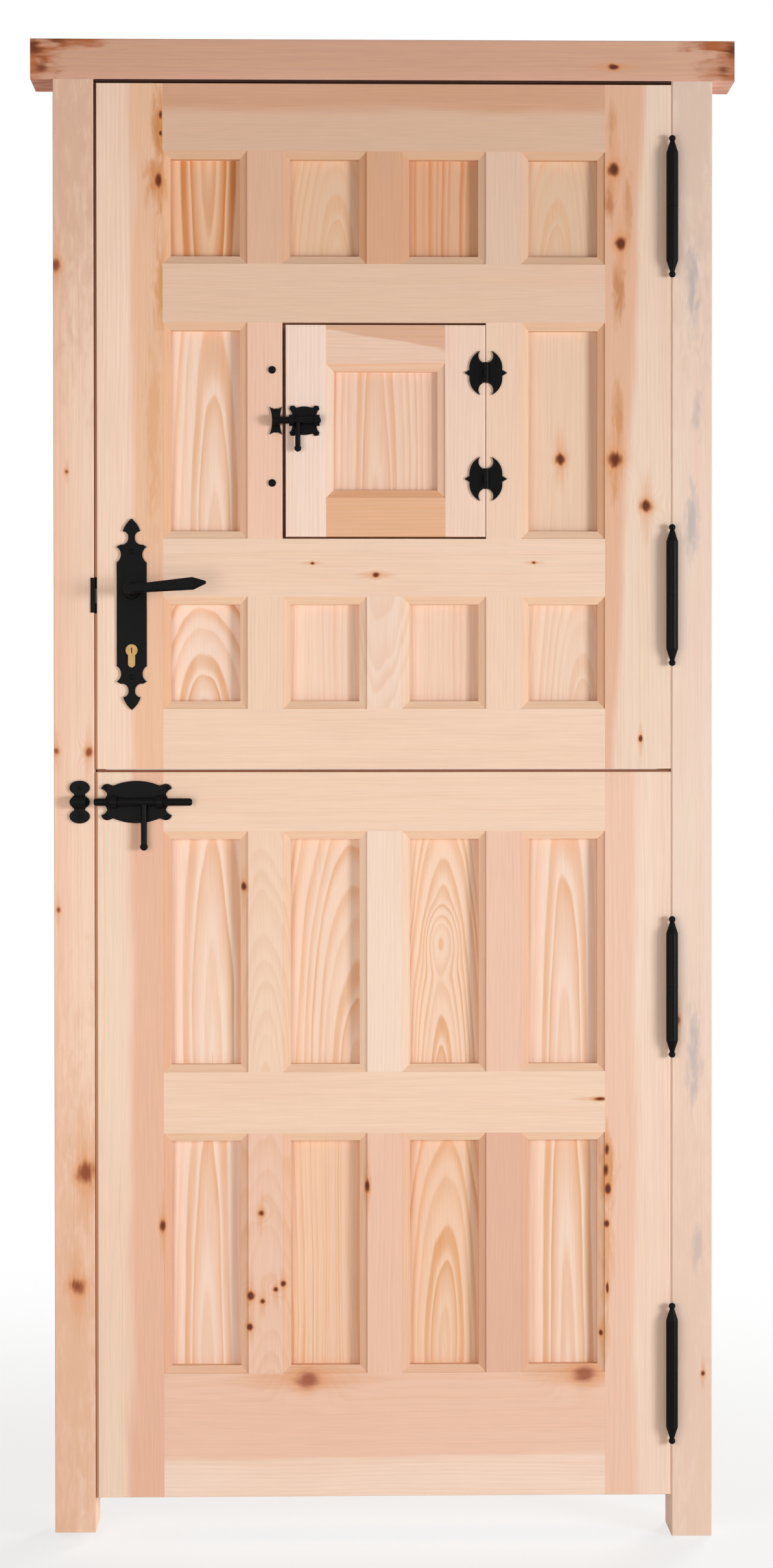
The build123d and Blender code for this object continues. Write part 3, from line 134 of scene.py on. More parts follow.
def pine(
    name, grain, boards, edges=(), heart=None, knots=(), eyes=(), stains=(), faces=None, seed=0.0,
    knot_tones=(KNOT_MIDDLE, KNOT_RIM),
):
    """Pine as a solid: the distance to a leaning, swaying pith is cut into year rings, each pale and then
    orange, with heartwood, fibres, stains and knots laid over them."""
    material, tree, shader = new_material(name, Roughness=0.62, Specular_IOR_Level=0.28)
    place = add(tree, "ShaderNodeTexCoord").outputs["Object"]
    x, y, z = add(tree, "ShaderNodeSeparateXYZ", {0: place}).outputs
    upright = grain == "upright"
    across, along = (x, z) if upright else (z, x)
    flat = add(tree, "ShaderNodeCombineXYZ", {"X": across, "Y": along}).outputs[0]
    shift = (seed, 2 * seed, 3 * seed)

    def cells(across_mm, along_mm):
        """Sizes of a pattern's cells across and along the grain, as a scale for coordinates."""
        fine, long = 1 / (across_mm * MM), 1 / (along_mm * MM)
        return (fine, fine, long) if upright else (long, fine, fine)

    def from_middle(mark):
        """The way from the middle of a knot or stain to a point: across in radii, and along in radii over
        the stretch."""
        size = 1 / (mark.radius * MM)
        offset = add(
            tree, "ShaderNodeVectorMath", {0: flat, 1: (mark.across, mark.along, 0.0)}, operation="SUBTRACT"
        )
        return add(
            tree, "ShaderNodeVectorMath",
            {0: offset.outputs[0], 1: (size, size / mark.stretch, 0.0)}, operation="MULTIPLY",
        ).outputs[0]

    # Negative values can't be stored in a ramp, so places and slopes are kept with one added.
    stored = choose(tree, x, edges, [(1 + b.pith, 1 + b.tilt, 1 + b.depth) for b in boards])
    pith, tilt, depth = (
        add(tree, "ShaderNodeMath", {0: value, 1: 1.0}, operation="SUBTRACT").outputs[0] for value in stored
    )
    apex, ring, figure = choose(tree, x, edges, [(b.apex, b.ring, b.figure) for b in boards])
    sap = choose_tone(tree, x, edges, [b.sap for b in boards])
    late_tone = choose_tone(tree, x, edges, [b.late for b in boards])

    # The stem sways: waves of 60 mm across and 420 mm along move the pith by some millimetres.
    sway_width = 17 * MM
    waves = add(
        tree, "ShaderNodeVectorMath", {0: place, 1: cells(60, 420), 2: shift}, operation="MULTIPLY_ADD"
    )
    sway = add(tree, "ShaderNodeTexNoise", {"Vector": waves.outputs[0], "Scale": 1.0, "Detail": 2.5})
    sway_offset = add(
        tree, "ShaderNodeVectorMath",
        {
            0: sway.outputs["Color"],
            1: (sway_width, sway_width, 0.0),
            2: (-sway_width / 2, -sway_width / 2, 0.0),
        },
        operation="MULTIPLY_ADD",
    )
    sideways = add(tree, "ShaderNodeMath", {0: across, 1: pith}, operation="SUBTRACT")
    run = add(tree, "ShaderNodeMath", {0: along, 1: apex}, operation="SUBTRACT")
    lean = add(tree, "ShaderNodeMath", {0: run.outputs[0], 1: tilt, 2: depth}, operation="MULTIPLY_ADD")
    behind = add(tree, "ShaderNodeMath", {0: lean.outputs[0], 1: y}, operation="SUBTRACT")
    to_pith = add(tree, "ShaderNodeCombineXYZ", {"X": sideways.outputs[0], "Y": behind.outputs[0]})
    swayed = add(
        tree, "ShaderNodeVectorMath", {0: to_pith.outputs[0], 1: sway_offset.outputs[0]}, operation="ADD"
    )
    radius = add(tree, "ShaderNodeVectorMath", {0: swayed.outputs[0]}, operation="LENGTH").outputs["Value"]

    # Rings bend out round each knot and in round each eye, within four of its radii.
    nearest = resin = None
    for mark in tuple(knots) + tuple(eyes):
        swell = (1.7 if mark in knots else -1.7) * mark.radius * MM
        way = from_middle(mark)
        far = add(tree, "ShaderNodeVectorMath", {0: way}, operation="LENGTH").outputs["Value"]
        bend = add(
            tree, "ShaderNodeMapRange", {"Value": far, "From Max": 4.0, "To Min": swell, "To Max": 0.0},
            interpolation_type="SMOOTHSTEP",
        ).outputs["Result"]
        radius = add(tree, "ShaderNodeMath", {0: radius, 1: bend}, operation="ADD").outputs[0]
        if mark in knots:
            drawn = add(tree, "ShaderNodeVectorMath", {0: way, 1: (0.6, 0.14, 0.0)}, operation="MULTIPLY")
            trail = add(
                tree, "ShaderNodeVectorMath", {0: drawn.outputs[0]}, operation="LENGTH"
            ).outputs["Value"]
            if nearest:
                far = add(tree, "ShaderNodeMath", {0: nearest, 1: far}, operation="MINIMUM").outputs[0]
                trail = add(tree, "ShaderNodeMath", {0: resin, 1: trail}, operation="MINIMUM").outputs[0]
            nearest, resin = far, trail

    # Years are of unequal width, and each ends in a band of late wood.
    count = add(tree, "ShaderNodeMath", {0: radius, 1: ring}, operation="DIVIDE").outputs[0]
    uneven = add(
        tree, "ShaderNodeTexNoise", {"W": count, "Scale": 0.6, "Detail": 1.0}, noise_dimensions="1D"
    )
    count = add(
        tree, "ShaderNodeMath", {0: uneven.outputs["Fac"], 1: 1.6, 2: count}, operation="MULTIPLY_ADD"
    ).outputs[0]
    season = add(tree, "ShaderNodeMath", {0: count}, operation="FRACT").outputs[0]
    darken = add(
        tree, "ShaderNodeMapRange", {"Value": season, "From Min": 0.1, "From Max": 0.8},
        interpolation_type="SMOOTHSTEP",
    ).outputs["Result"]
    winter = add(
        tree, "ShaderNodeMapRange",
        {"Value": season, "From Min": 0.82, "From Max": 1.0, "To Min": 1.0, "To Max": 0.0},
        interpolation_type="SMOOTHSTEP",
    ).outputs["Result"]
    shown = add(tree, "ShaderNodeMath", {0: darken, 1: winter}, operation="MULTIPLY").outputs[0]
    # Some years and places show more strongly than others.
    year = add(tree, "ShaderNodeMath", {0: count}, operation="FLOOR")
    chance = add(tree, "ShaderNodeTexWhiteNoise", {"W": year.outputs[0]}, noise_dimensions="1D")
    year_share = add(
        tree, "ShaderNodeMapRange",
        {"Value": chance.outputs["Value"], "From Min": 0.1, "From Max": 0.9, "To Min": 0.4, "To Max": 1.0},
    ).outputs["Result"]
    patches = add(
        tree, "ShaderNodeVectorMath", {0: place, 1: cells(35, 260), 2: shift}, operation="MULTIPLY_ADD"
    )
    patch = add(tree, "ShaderNodeTexNoise", {"Vector": patches.outputs[0], "Scale": 1.0, "Detail": 2.0})
    patch_share = add(
        tree, "ShaderNodeMapRange",
        {"Value": patch.outputs["Fac"], "From Min": 0.3, "From Max": 0.7, "To Min": 0.5, "To Max": 1.0},
    ).outputs["Result"]
    for share in (patch_share, year_share, figure):
        shown = add(tree, "ShaderNodeMath", {0: shown, 1: share}, operation="MULTIPLY").outputs[0]

    tone = sap
    if heart:
        waver = add(
            tree, "ShaderNodeMath", {0: patch.outputs["Fac"], 1: 30 * MM, 2: -15 * MM},
            operation="MULTIPLY_ADD",
        )
        where = add(tree, "ShaderNodeMath", {0: across, 1: waver.outputs[0]}, operation="ADD")
        where = add(
            tree, "ShaderNodeMath", {0: along, 1: heart.slope, 2: where.outputs[0]},
            operation="MULTIPLY_ADD",
        )
        inside = add(
            tree, "ShaderNodeMapRange",
            {
                "Value": where.outputs[0],
                "From Min": heart.edge - heart.side * heart.soft * MM,
                "From Max": heart.edge + heart.side * heart.soft * MM,
            },
            interpolation_type="SMOOTHSTEP",
        ).outputs["Result"]
        tone = add(
            tree, "ShaderNodeMix", {0: inside, 6: tone, 7: linear(heart.tone)}, data_type="RGBA"
        ).outputs[2]
    # Warm blotches, then the late wood, then the fibres as fine long streaks
    warm = add(
        tree, "ShaderNodeMapRange",
        {"Value": sway.outputs["Fac"], "From Min": 0.45, "From Max": 0.75, "To Min": 0.0, "To Max": 0.3},
    ).outputs["Result"]
    tone = add(tree, "ShaderNodeMix", {0: warm, 6: tone, 7: linear(ROSE)}, data_type="RGBA").outputs[2]
    tone = add(tree, "ShaderNodeMix", {0: shown, 6: tone, 7: late_tone}, data_type="RGBA").outputs[2]
    streaks = add(
        tree, "ShaderNodeVectorMath", {0: place, 1: cells(1.6, 60), 2: shift}, operation="MULTIPLY_ADD"
    )
    fibre = add(
        tree, "ShaderNodeTexNoise", {"Vector": streaks.outputs[0], "Scale": 1.0, "Detail": 3.0}
    ).outputs["Fac"]
    fibre_shade = add(
        tree, "ShaderNodeMapRange",
        {"Value": fibre, "From Min": 0.25, "From Max": 0.75, "To Min": 0.95, "To Max": 1.04},
    ).outputs["Result"]
    tone = add(tree, "ShaderNodeVectorMath", {0: tone, 3: fibre_shade}, operation="SCALE").outputs[0]
    if faces:
        # Cut mouldings and edges, below the sanded faces, are a little darker: partly their own tone,
        # partly painted shade.
        middle, half = (faces[0] + faces[1]) / 2, (faces[1] - faces[0]) / 2
        off_middle = add(tree, "ShaderNodeMath", {0: y, 1: middle}, operation="SUBTRACT")
        off_middle = add(tree, "ShaderNodeMath", {0: off_middle.outputs[0]}, operation="ABSOLUTE")
        cut = add(
            tree, "ShaderNodeMapRange",
            {"Value": off_middle.outputs[0], "From Min": half - 0.2 * MM, "From Max": half - 1.2 * MM},
        ).outputs["Result"]
        tone = add(
            tree, "ShaderNodeMix", {0: cut, 6: tone, 7: linear(CUT_AND_RECESS_SHADE)},
            data_type="RGBA", blend_type="MULTIPLY",
        ).outputs[2]
    # Knots, stains and burr have ragged edges, with swirls of 9 by 35 mm drawn out along the grain.
    swirls = add(tree, "ShaderNodeVectorMath", {0: place, 1: cells(9, 35)}, operation="MULTIPLY")
    swirl = add(
        tree, "ShaderNodeTexNoise",
        {"Vector": swirls.outputs[0], "Scale": 1.0, "Detail": 2.5, "Distortion": 0.6},
    ).outputs["Fac"]
    for stain in stains:
        far = add(
            tree, "ShaderNodeVectorMath", {0: from_middle(stain)}, operation="LENGTH"
        ).outputs["Value"]
        ragged = add(
            tree, "ShaderNodeMath", {0: swirl, 1: 1.8, 2: far}, operation="MULTIPLY_ADD"
        ).outputs[0]
        soak = add(
            tree, "ShaderNodeMapRange",
            {"Value": ragged, "From Min": 0.9, "From Max": 2.0, "To Min": stain.share, "To Max": 0.0},
            interpolation_type="SMOOTHSTEP",
        ).outputs["Result"]
        tone = add(
            tree, "ShaderNodeMix", {0: soak, 6: tone, 7: linear(stain.tone)}, data_type="RGBA"
        ).outputs[2]
    if nearest:
        # From the widest to the narrowest: resin drawn out along the grain, halo, rim and middle
        soaked = add(
            tree, "ShaderNodeMath", {0: fibre, 1: 0.8, 2: resin}, operation="MULTIPLY_ADD"
        ).outputs[0]
        ragged = add(
            tree, "ShaderNodeMath", {0: swirl, 1: 1.1, 2: nearest}, operation="MULTIPLY_ADD"
        ).outputs[0]
        middle_tone, rim_tone = knot_tones
        for reach, start, end, share, colour in (
            (soaked, 0.5, 1.4, 0.5, KNOT_HALO), (ragged, 1.25, 2.6, 0.55, KNOT_HALO),
            (ragged, 1.15, 1.75, 0.95, rim_tone), (ragged, 0.85, 1.45, 0.92, middle_tone),
        ):
            near = add(
                tree, "ShaderNodeMapRange",
                {"Value": reach, "From Min": start, "From Max": end, "To Min": share, "To Max": 0.0},
                interpolation_type="SMOOTHSTEP",
            ).outputs["Result"]
            tone = add(
                tree, "ShaderNodeMix", {0: near, 6: tone, 7: linear(colour)}, data_type="RGBA"
            ).outputs[2]
    tree.links.new(tone, shader.inputs["Base Color"])
    relief = add(tree, "ShaderNodeMath", {0: shown, 1: 0.5, 2: fibre}, operation="MULTIPLY_ADD")
    bump = add(
        tree, "ShaderNodeBump", {"Strength": 0.25, "Distance": 0.3 * MM, "Height": relief.outputs[0]}
    )
    tree.links.new(bump.outputs["Normal"], shader.inputs["Normal"])
    return material


def choose_tone(tree, x, edges, codes):
    """The colour of each of several boards side by side: the x of a point picks its board's own."""
    tones = [linear(code) for code in codes]
    if len(tones) == 1:
        return tones[0]
    parts = choose(tree, x, edges, tones)
    return add(tree, "ShaderNodeCombineColor", {i: part for i, part in enumerate(parts)}).outputs[0]


def dress(material, *names):
    """Gives CAD nodes a material."""
    for name in names:
        slots = nodes[name].data.materials
        slots.clear()
        slots.append(material)


# Middles of the four panel columns and the three muntins, and the lines that part the pieces of a row
COLUMN = (-0.2559, -0.0846, 0.0866, 0.2579)
MUNTIN = (-0.1703, 0.001, 0.1723)
PANEL_EDGES = MUNTIN
MUNTIN_EDGES = COLUMN[1:3]
SIDE_EDGES = (0.0,)

# Where the front and back faces of the leaves and of the hatch lie
LEAF_FACES = (-22.5 * MM, 22.5 * MM)
HATCH_FACES = (-22.5 * MM, 9.5 * MM)

# Frame
# The strike jamb is darker towards its top and bottom ends, in two broad patches.
dress(
    pine(
        "pine_strike_jamb", "upright", [straight(-0.445, "F3D1BA", LATE_SOFT, 0.4, 5.5)], seed=1.3,
        heart=Heart(-0.45, -1, 16, "EFC6AD"),
        stains=[Stain(-0.445, 2.02, 90, 4.5, "DDB299", 0.9), Stain(-0.445, 0.28, 90, 6.0, "E3B596", 0.9)],
        knots=[
            Knot(-0.470, 1.83, 8, 1.3), Knot(-0.454, 1.534, 3, 1.2), Knot(-0.470, 1.134, 5, 1.3),
            Knot(-0.423, 1.132, 6, 1.3), Knot(-0.467, 0.906, 3.5, 1.3), Knot(-0.430, 0.528, 15, 1.1),
            Knot(-0.441, 0.365, 13, 1.0),
        ],
        knot_tones=("8A4424", "B8734C"),
    ),
    "strike_jamb",
)
# The hinge jamb is likewise darker towards its top and bottom ends, in two broad patches.
dress(
    pine(
        "pine_hinge_jamb", "upright", [straight(0.445, "ECD1BE", LATE_SOFT, 0.25, 6, -1)], seed=2.1,
        knots=[Knot(0.422, 0.745, 6, 1.4), Knot(0.460, 0.235, 3.5, 1.2)],
        stains=[
            Stain(0.445, 2.02, 90, 4.5, "DDBFAC", 0.9), Stain(0.445, 0.26, 90, 6.0, "E4C3AD", 0.8),
            Stain(0.446, 1.80, 13, 6.0, BLUE_STAIN, 0.6), Stain(0.444, 1.46, 14, 5.0, BLUE_STAIN, 0.6),
            Stain(0.450, 1.62, 8, 5.0, BLUE_STAIN, 0.4), Stain(0.447, 0.70, 13, 7.0, BLUE_STAIN, 0.6),
            Stain(0.452, 0.42, 9, 6.0, BLUE_STAIN, 0.4),
        ],
    ),
    "hinge_jamb",
)
# The head's tones are darker than the jambs': partly its own tone, partly painted shade where the light
# falls off towards the top.
dress(
    pine(
        "pine_head", "level", [straight(2.125, "D2A288", LATE_SOFT, 0.4, 5)], seed=3.7,
        heart=Heart(2.10, -1, 14, "DAA68E"), knots=[Knot(2.115, 0.331, 4.5, 1.6)],
        stains=[
            Stain(2.124, -0.500, 75, 0.6, "B4683A", 1.0), Stain(2.153, -0.455, 22, 4.0, "B06335", 1.0),
            Stain(2.142, -0.500, 20, 0.8, "642A10", 0.9), Stain(2.152, -0.470, 10, 3.0, "6B2E12", 0.9),
            Stain(2.112, -0.488, 13, 0.9, "642A10", 0.8),
            Stain(2.124, 0.506, 80, 0.75, "AE6236", 1.0), Stain(2.150, 0.475, 20, 2.4, "A85C30", 1.0),
            Stain(2.140, 0.502, 18, 0.8, "642A10", 0.9), Stain(2.112, 0.490, 13, 0.9, "6B2E12", 0.8),
        ],
    ),
    "head",
)
dress(
    pine("pine_stops", "upright", [straight(0.0, CREAM, LATE_SOFT, 0.3)], seed=4.4),
    "strike_stop", "hinge_stop", "hatch_stops",
)
dress(pine("pine_head_stop", "level", [straight(2.09, CREAM, LATE_SOFT, 0.3)], seed=4.9), "head_stop")

# Upper leaf
dress(
    pine(
        "pine_upper_lock_stile", "upright", [straight(-0.364, "F7D8C2", LATE_SOFT, 0.4, 5)],
        seed=5.2, faces=LEAF_FACES,
        heart=Heart(-0.362, 1, 9, "ECBE9D"),
        knots=[Knot(-0.322, 1.951, 5, 2.2), Knot(-0.319, 2.045, 2.5, 3.0), Knot(-0.319, 2.018, 2.2, 2.0)],
        stains=[
            Stain(-0.320, 2.03, 15, 5.0, "C9803F", 0.9), Stain(-0.326, 1.95, 20, 2.4, "CC8246", 0.8),
            Stain(-0.318, 1.80, 12, 9.0, "D18F52", 0.8), Stain(-0.330, 1.60, 15, 12.0, "DDA06C", 0.6),
        ],
    ),
    "upper_lock_stile",
)
dress(
    pine(
        "pine_upper_hinge_stile", "upright", [straight(0.366, "EDD2BC", LATE_SOFT, 0.4, 5, -1)],
        seed=6.6, faces=LEAF_FACES,
        heart=Heart(0.280, -1, 8, "E2B294", -0.045),
        knots=[
            Knot(0.331, 1.968, 10, 1.1), Knot(0.341, 1.862, 10, 1.1), Knot(0.333, 1.553, 11, 1.1),
            Knot(0.378, 1.486, 9, 1.0), Knot(0.370, 1.151, 3, 1.6),
        ],
        stains=[
            Stain(0.338, 1.80, 12, 5.0, "C07F4C", 0.9), Stain(0.326, 1.92, 10, 5.0, "BC7644", 0.9),
            Stain(0.351, 1.92, 8, 9.0, "CB8E5C", 0.8), Stain(0.328, 2.03, 9, 5.0, "C88A58", 0.7),
            Stain(0.338, 1.615, 11, 6.0, "CB8E5C", 0.9), Stain(0.333, 1.51, 8, 5.0, "CB8E5C", 0.8),
        ],
    ),
    "upper_hinge_stile",
)
# The top rail's tones are darker than the rails below: partly its own tone, partly painted shade where the
# light falls off towards the top.
dress(
    pine(
        "pine_upper_top_rail", "level", [straight(2.04, "DCB79C", LATE_SOFT, 0.35, 5)],
        seed=7.1, faces=LEAF_FACES,
        heart=Heart(2.052, 1, 9, "D4A081"),
    ),
    "upper_top_rail",
)
dress(
    pine(
        "pine_rail_over_hatch", "level", [straight(1.79, "E5C2A8", LATE_SOFT, 0.25, 5)],
        seed=7.9, faces=LEAF_FACES,
    ),
    "rail_over_hatch",
)
dress(
    pine(
        "pine_rail_under_hatch", "level", [straight(1.396, CREAM, LATE_SOFT, 0.3, 5)],
        seed=8.3, faces=LEAF_FACES,
        knots=[Knot(1.386, -0.011, 4, 1.4), Knot(1.403, -0.102, 2.2, 1.5), Knot(1.404, 0.216, 2.2, 1.5)],
    ),
    "rail_under_hatch",
)
dress(
    pine(
        "pine_upper_bottom_rail", "level", [straight(1.149, CREAM, LATE_SOFT, 0.25, 6)],
        seed=9.2, faces=LEAF_FACES,
    ),
    "upper_bottom_rail",
)
# The top muntins are darker than the ones below: partly their own tone, partly painted shade where the
# light falls off towards the top.
dress(
    pine(
        "pine_top_muntins", "upright",
        [
            straight(MUNTIN[0], "DFB397"), straight(MUNTIN[1], "D9A787", LATE, 0.45),
            straight(MUNTIN[2], "E3C1A9"),
        ],
        MUNTIN_EDGES, seed=10.4, faces=LEAF_FACES,
    ),
    "upper_leaf_top_muntins",
)
dress(
    pine(
        "pine_side_muntins", "upright", [straight(MUNTIN[0], "F1C7AF"), straight(MUNTIN[2], CREAM)],
        SIDE_EDGES, seed=11.4, faces=LEAF_FACES,
    ),
    "hatch_side_muntins",
)
dress(
    pine(
        "pine_low_muntins", "upright",
        [
            straight(MUNTIN[0], CREAM), arched(MUNTIN[1], PALE, 1.2, 30, -0.1, 5, 0.5, LATE_SOFT),
            straight(MUNTIN[2], CREAM),
        ],
        MUNTIN_EDGES, seed=12.6, faces=LEAF_FACES,
    ),
    "upper_leaf_low_muntins",
)
# The top panels are darker than the ones below: partly their own tone, partly painted shade where the light
# falls off towards the top.
dress(
    pine(
        "pine_top_panels", "upright",
        [
            flame(COLUMN[0] + 0.004, "E8BC98", 2.035, -0.09, 13, 1.5, LATE_STRONG),
            flame(COLUMN[1] + 0.018, "E5BF9F", 1.82, 0.25, 9, 0.55),
            straight(COLUMN[2], "DCAA86", LATE_STRONG, 1.0, 9),
            flame(COLUMN[3] - 0.01, "E0BC9E", 1.80, 0.2, 8, 0.5),
        ],
        PANEL_EDGES, seed=13.2,
    ),
    "upper_leaf_top_panels",
)
dress(
    pine(
        "pine_side_panels", "upright",
        [
            flame(COLUMN[0] + 0.012, "F5D5BF", 1.40, 0.1, 12, 0.8),
            straight(COLUMN[3], "E9C7AC", LATE_SOFT, 0.45, 6),
        ],
        SIDE_EDGES, knots=[Knot(0.256, 1.554, 8, 1.1)], seed=14.9,
    ),
    "hatch_side_panels",
)
dress(
    pine(
        "pine_low_panels", "upright",
        [
            flame(COLUMN[0] - 0.002, "F6D7C2", 1.175, 0.4, 13, 1.0, LATE),
            straight(COLUMN[1], "F4D3BC", LATE, 0.4, 7), straight(COLUMN[2], "F0CDB5", LATE, 0.4, 7),
            flame(COLUMN[3] + 0.03, "EFCFB7", 1.16, 0.2, 8, 0.45),
        ],
        PANEL_EDGES, seed=15.1,
    ),
    "upper_leaf_low_panels",
)

# Hatch
dress(
    pine(
        "pine_hatch_lock_stile", "upright", [straight(-0.112, "F7DBCB", LATE_SOFT, 0.35)],
        seed=16.8, faces=HATCH_FACES,
    ),
    "hatch_lock_stile",
)
dress(
    pine(
        "pine_hatch_hinge_stile", "upright", [straight(0.116, "F1D0BC", LATE_SOFT, 0.3)],
        seed=17.3, faces=HATCH_FACES,
    ),
    "hatch_hinge_stile",
)
dress(
    pine(
        "pine_hatch_top_rail", "level", [straight(1.716, "EDC9B2", LATE, 0.4)],
        seed=18.9, faces=HATCH_FACES,
        heart=Heart(1.722, 1, 2, "DDAF93", 0.2),
    ),
    "hatch_top_rail",
)
dress(
    pine(
        "pine_hatch_bottom_rail", "level", [straight(1.47, HONEY, LATE, 0.5)],
        seed=19.7, faces=HATCH_FACES,
    ),
    "hatch_bottom_rail",
)
dress(
    pine("pine_hatch_panel", "upright", [flame(-0.012, "F0CBB4", 1.40, 0.05, 10, 0.8, LATE)], seed=20.5),
    "hatch_panel",
)

# Lower leaf
dress(
    pine(
        "pine_lower_lock_stile", "upright", [straight(-0.364, "F0D4BD", LATE_SOFT, 0.3, 6)],
        seed=21.4, faces=LEAF_FACES,
        heart=Heart(-0.365, 1, 9, ROSE), knots=[Knot(-0.318, 0.452, 4.5, 2.2)],
    ),
    "lower_lock_stile",
)
dress(
    pine(
        "pine_lower_hinge_stile", "upright", [straight(0.366, PALE, LATE_SOFT, 0.3, 6, -1)],
        seed=22.8, faces=LEAF_FACES,
        heart=Heart(0.364, -1, 10, BLUSH),
        knots=[
            Knot(0.321, 0.560, 3.5, 2.6), Knot(0.320, 0.530, 4, 2.4), Knot(0.323, 0.502, 4.5, 1.8),
            Knot(0.321, 0.452, 4, 1.4), Knot(0.313, 0.294, 3, 1.6), Knot(0.322, 0.36, 2, 4.0),
        ],
        stains=[
            Stain(0.322, 0.53, 16, 4.0, "D08A4C", 0.8), Stain(0.320, 0.40, 13, 6.0, "D79A60", 0.7),
            Stain(0.318, 0.29, 10, 4.0, "D79A60", 0.6),
        ],
    ),
    "lower_hinge_stile",
)
dress(
    pine(
        "pine_lower_bottom_rail", "level", [straight(0.15, PALE, LATE_SOFT, 0.35, 6)],
        seed=23.6, faces=LEAF_FACES,
        heart=Heart(0.116, 1, 5, BLUSH), knots=[Knot(0.229, -0.111, 14, 1.4), Knot(0.234, 0.289, 14, 1.3)],
        knot_tones=("A05A40", "C9896A"),
    ),
    "lower_bottom_rail",
)
dress(
    pine(
        "pine_lower_middle_rail", "level", [straight(0.628, CREAM, LATE_SOFT, 0.25, 6)],
        seed=24.2, faces=LEAF_FACES,
        knots=[Knot(0.632, 0.312, 3, 3.0)],
    ),
    "lower_middle_rail",
)
dress(
    pine(
        "pine_lower_top_rail", "level", [straight(1.06, CREAM, LATE_SOFT, 0.25, 6)],
        seed=25.8, faces=LEAF_FACES,
    ),
    "lower_top_rail",
)
dress(
    pine(
        "pine_high_muntins", "upright",
        [
            arched(MUNTIN[0], CREAM, 0.96, 28, 0.12, 5, 0.5, LATE_SOFT),
            straight(MUNTIN[1], PALE, LATE_SOFT, 0.2), straight(MUNTIN[2], BLUSH, LATE_SOFT, 0.3),
        ],
        MUNTIN_EDGES, knots=[Knot(-0.201, 0.939, 4, 1.6)], seed=26.5, faces=LEAF_FACES,
    ),
    "lower_leaf_high_muntins",
)
dress(
    pine(
        "pine_low_row_muntins", "upright",
        [
            arched(MUNTIN[0], BLUSH, 0.30, 32, 0.12, 5, 0.6, LATE_SOFT),
            straight(MUNTIN[1], BLUSH, LATE_SOFT, 0.35), straight(MUNTIN[2], "E2B39A", LATE_SOFT, 0.35),
        ],
        MUNTIN_EDGES, seed=27.9, faces=LEAF_FACES,
        knots=[
            Knot(-0.177, 0.469, 5, 1.1), Knot(-0.192, 0.350, 6, 1.1), Knot(-0.175, 0.342, 4.5, 1.0),
            Knot(-0.156, 0.359, 4, 1.0), Knot(-0.145, 0.367, 4.5, 1.0), Knot(-0.193, 0.305, 5, 1.1),
            Knot(-0.024, 0.508, 4, 2.6),
        ],
    ),
    "lower_leaf_low_muntins",
)
dress(
    pine(
        "pine_high_panels", "upright",
        [
            flame(COLUMN[0] + 0.01, "F7DBC7", 0.66, 0.08, 14, 0.75),
            flame(COLUMN[1] + 0.045, "F4D2BA", 0.66, 0.2, 11, 0.75),
            flame(COLUMN[2] - 0.003, "F4D1B7", 0.60, 0.13, 6, 0.9),
            flame(COLUMN[3] + 0.004, "F3D4BF", 0.64, 0.07, 11, 0.8),
        ],
        PANEL_EDGES, eyes=[Knot(COLUMN[2] - 0.003, 0.862, 9, 1.8)], seed=28.1,
    ),
    "lower_leaf_high_panels",
)
dress(
    pine(
        "pine_low_row_panels", "upright",
        [
            flame(COLUMN[0] + 0.003, "F6D8C4", 0.2, 0.06, 11, 0.75),
            straight(COLUMN[1], "F0C8AA", LATE, 0.7, 6, -1),
            flame(COLUMN[2], "F0C8AA", 0.275, 0.15, 9, 1.0),
            flame(COLUMN[3] + 0.006, "F3D3BD", 0.2, 0.055, 12, 1.0),
        ],
        PANEL_EDGES, seed=29.4,
    ),
    "lower_leaf_low_panels",
)

# Forged iron under a thin black wax: almost no colour, a soft sheen and the faint dents of the hammer.
iron, tree, shader = new_material(
    "black_forged_iron", Base_Color=linear("050506"), Roughness=0.46, Specular_IOR_Level=0.09
)
place = add(tree, "ShaderNodeTexCoord").outputs["Object"]
dents = add(tree, "ShaderNodeTexNoise", {"Vector": place, "Scale": 1 / (7 * MM), "Detail": 1.5})
bump = add(
    tree, "ShaderNodeBump", {"Strength": 0.35, "Distance": 0.5 * MM, "Height": dents.outputs["Fac"]}
)
tree.links.new(bump.outputs["Normal"], shader.inputs["Normal"])
dress(
    iron,
    "strike_plate", "bolt_keeper", "jamb_hinge_halves", "upper_hinge_halves", "lower_hinge_halves",
    "inner_plate", "outer_plate", "inner_lever", "outer_lever", "bolt_plate", "lower_bolt", "hatch_keeper",
    "hatch_hinge_fixed_halves", "hatch_hinge_moving_halves", "hatch_bolt_plate", "hatch_bolt", "grille",
    "grille_bolts",
)

# Drawn steel of the lock: grey, with lines about a millimetre wide along the faceplate.
steel, tree, shader = new_material("drawn_lock_steel", Metallic=1.0, Roughness=0.34)
place = add(tree, "ShaderNodeTexCoord").outputs["Object"]
line_width, line_length = 1.111 * MM, 83.33 * MM
drawn = add(
    tree, "ShaderNodeVectorMath", {0: place, 1: (1 / line_width, 1 / line_width, 1 / line_length)},
    operation="MULTIPLY",
)
lines = add(tree, "ShaderNodeTexNoise", {"Vector": drawn.outputs[0], "Scale": 1.0, "Detail": 2.0})
grey = add(
    tree, "ShaderNodeMix", {0: lines.outputs["Fac"], 6: linear("8E8F92"), 7: linear("B4B5B6")},
    data_type="RGBA",
)
tree.links.new(grey.outputs[2], shader.inputs["Base Color"])
dress(steel, "lock_case", "lock_faceplate", "spindle", "follower", "latch_bolt", "dead_bolt")

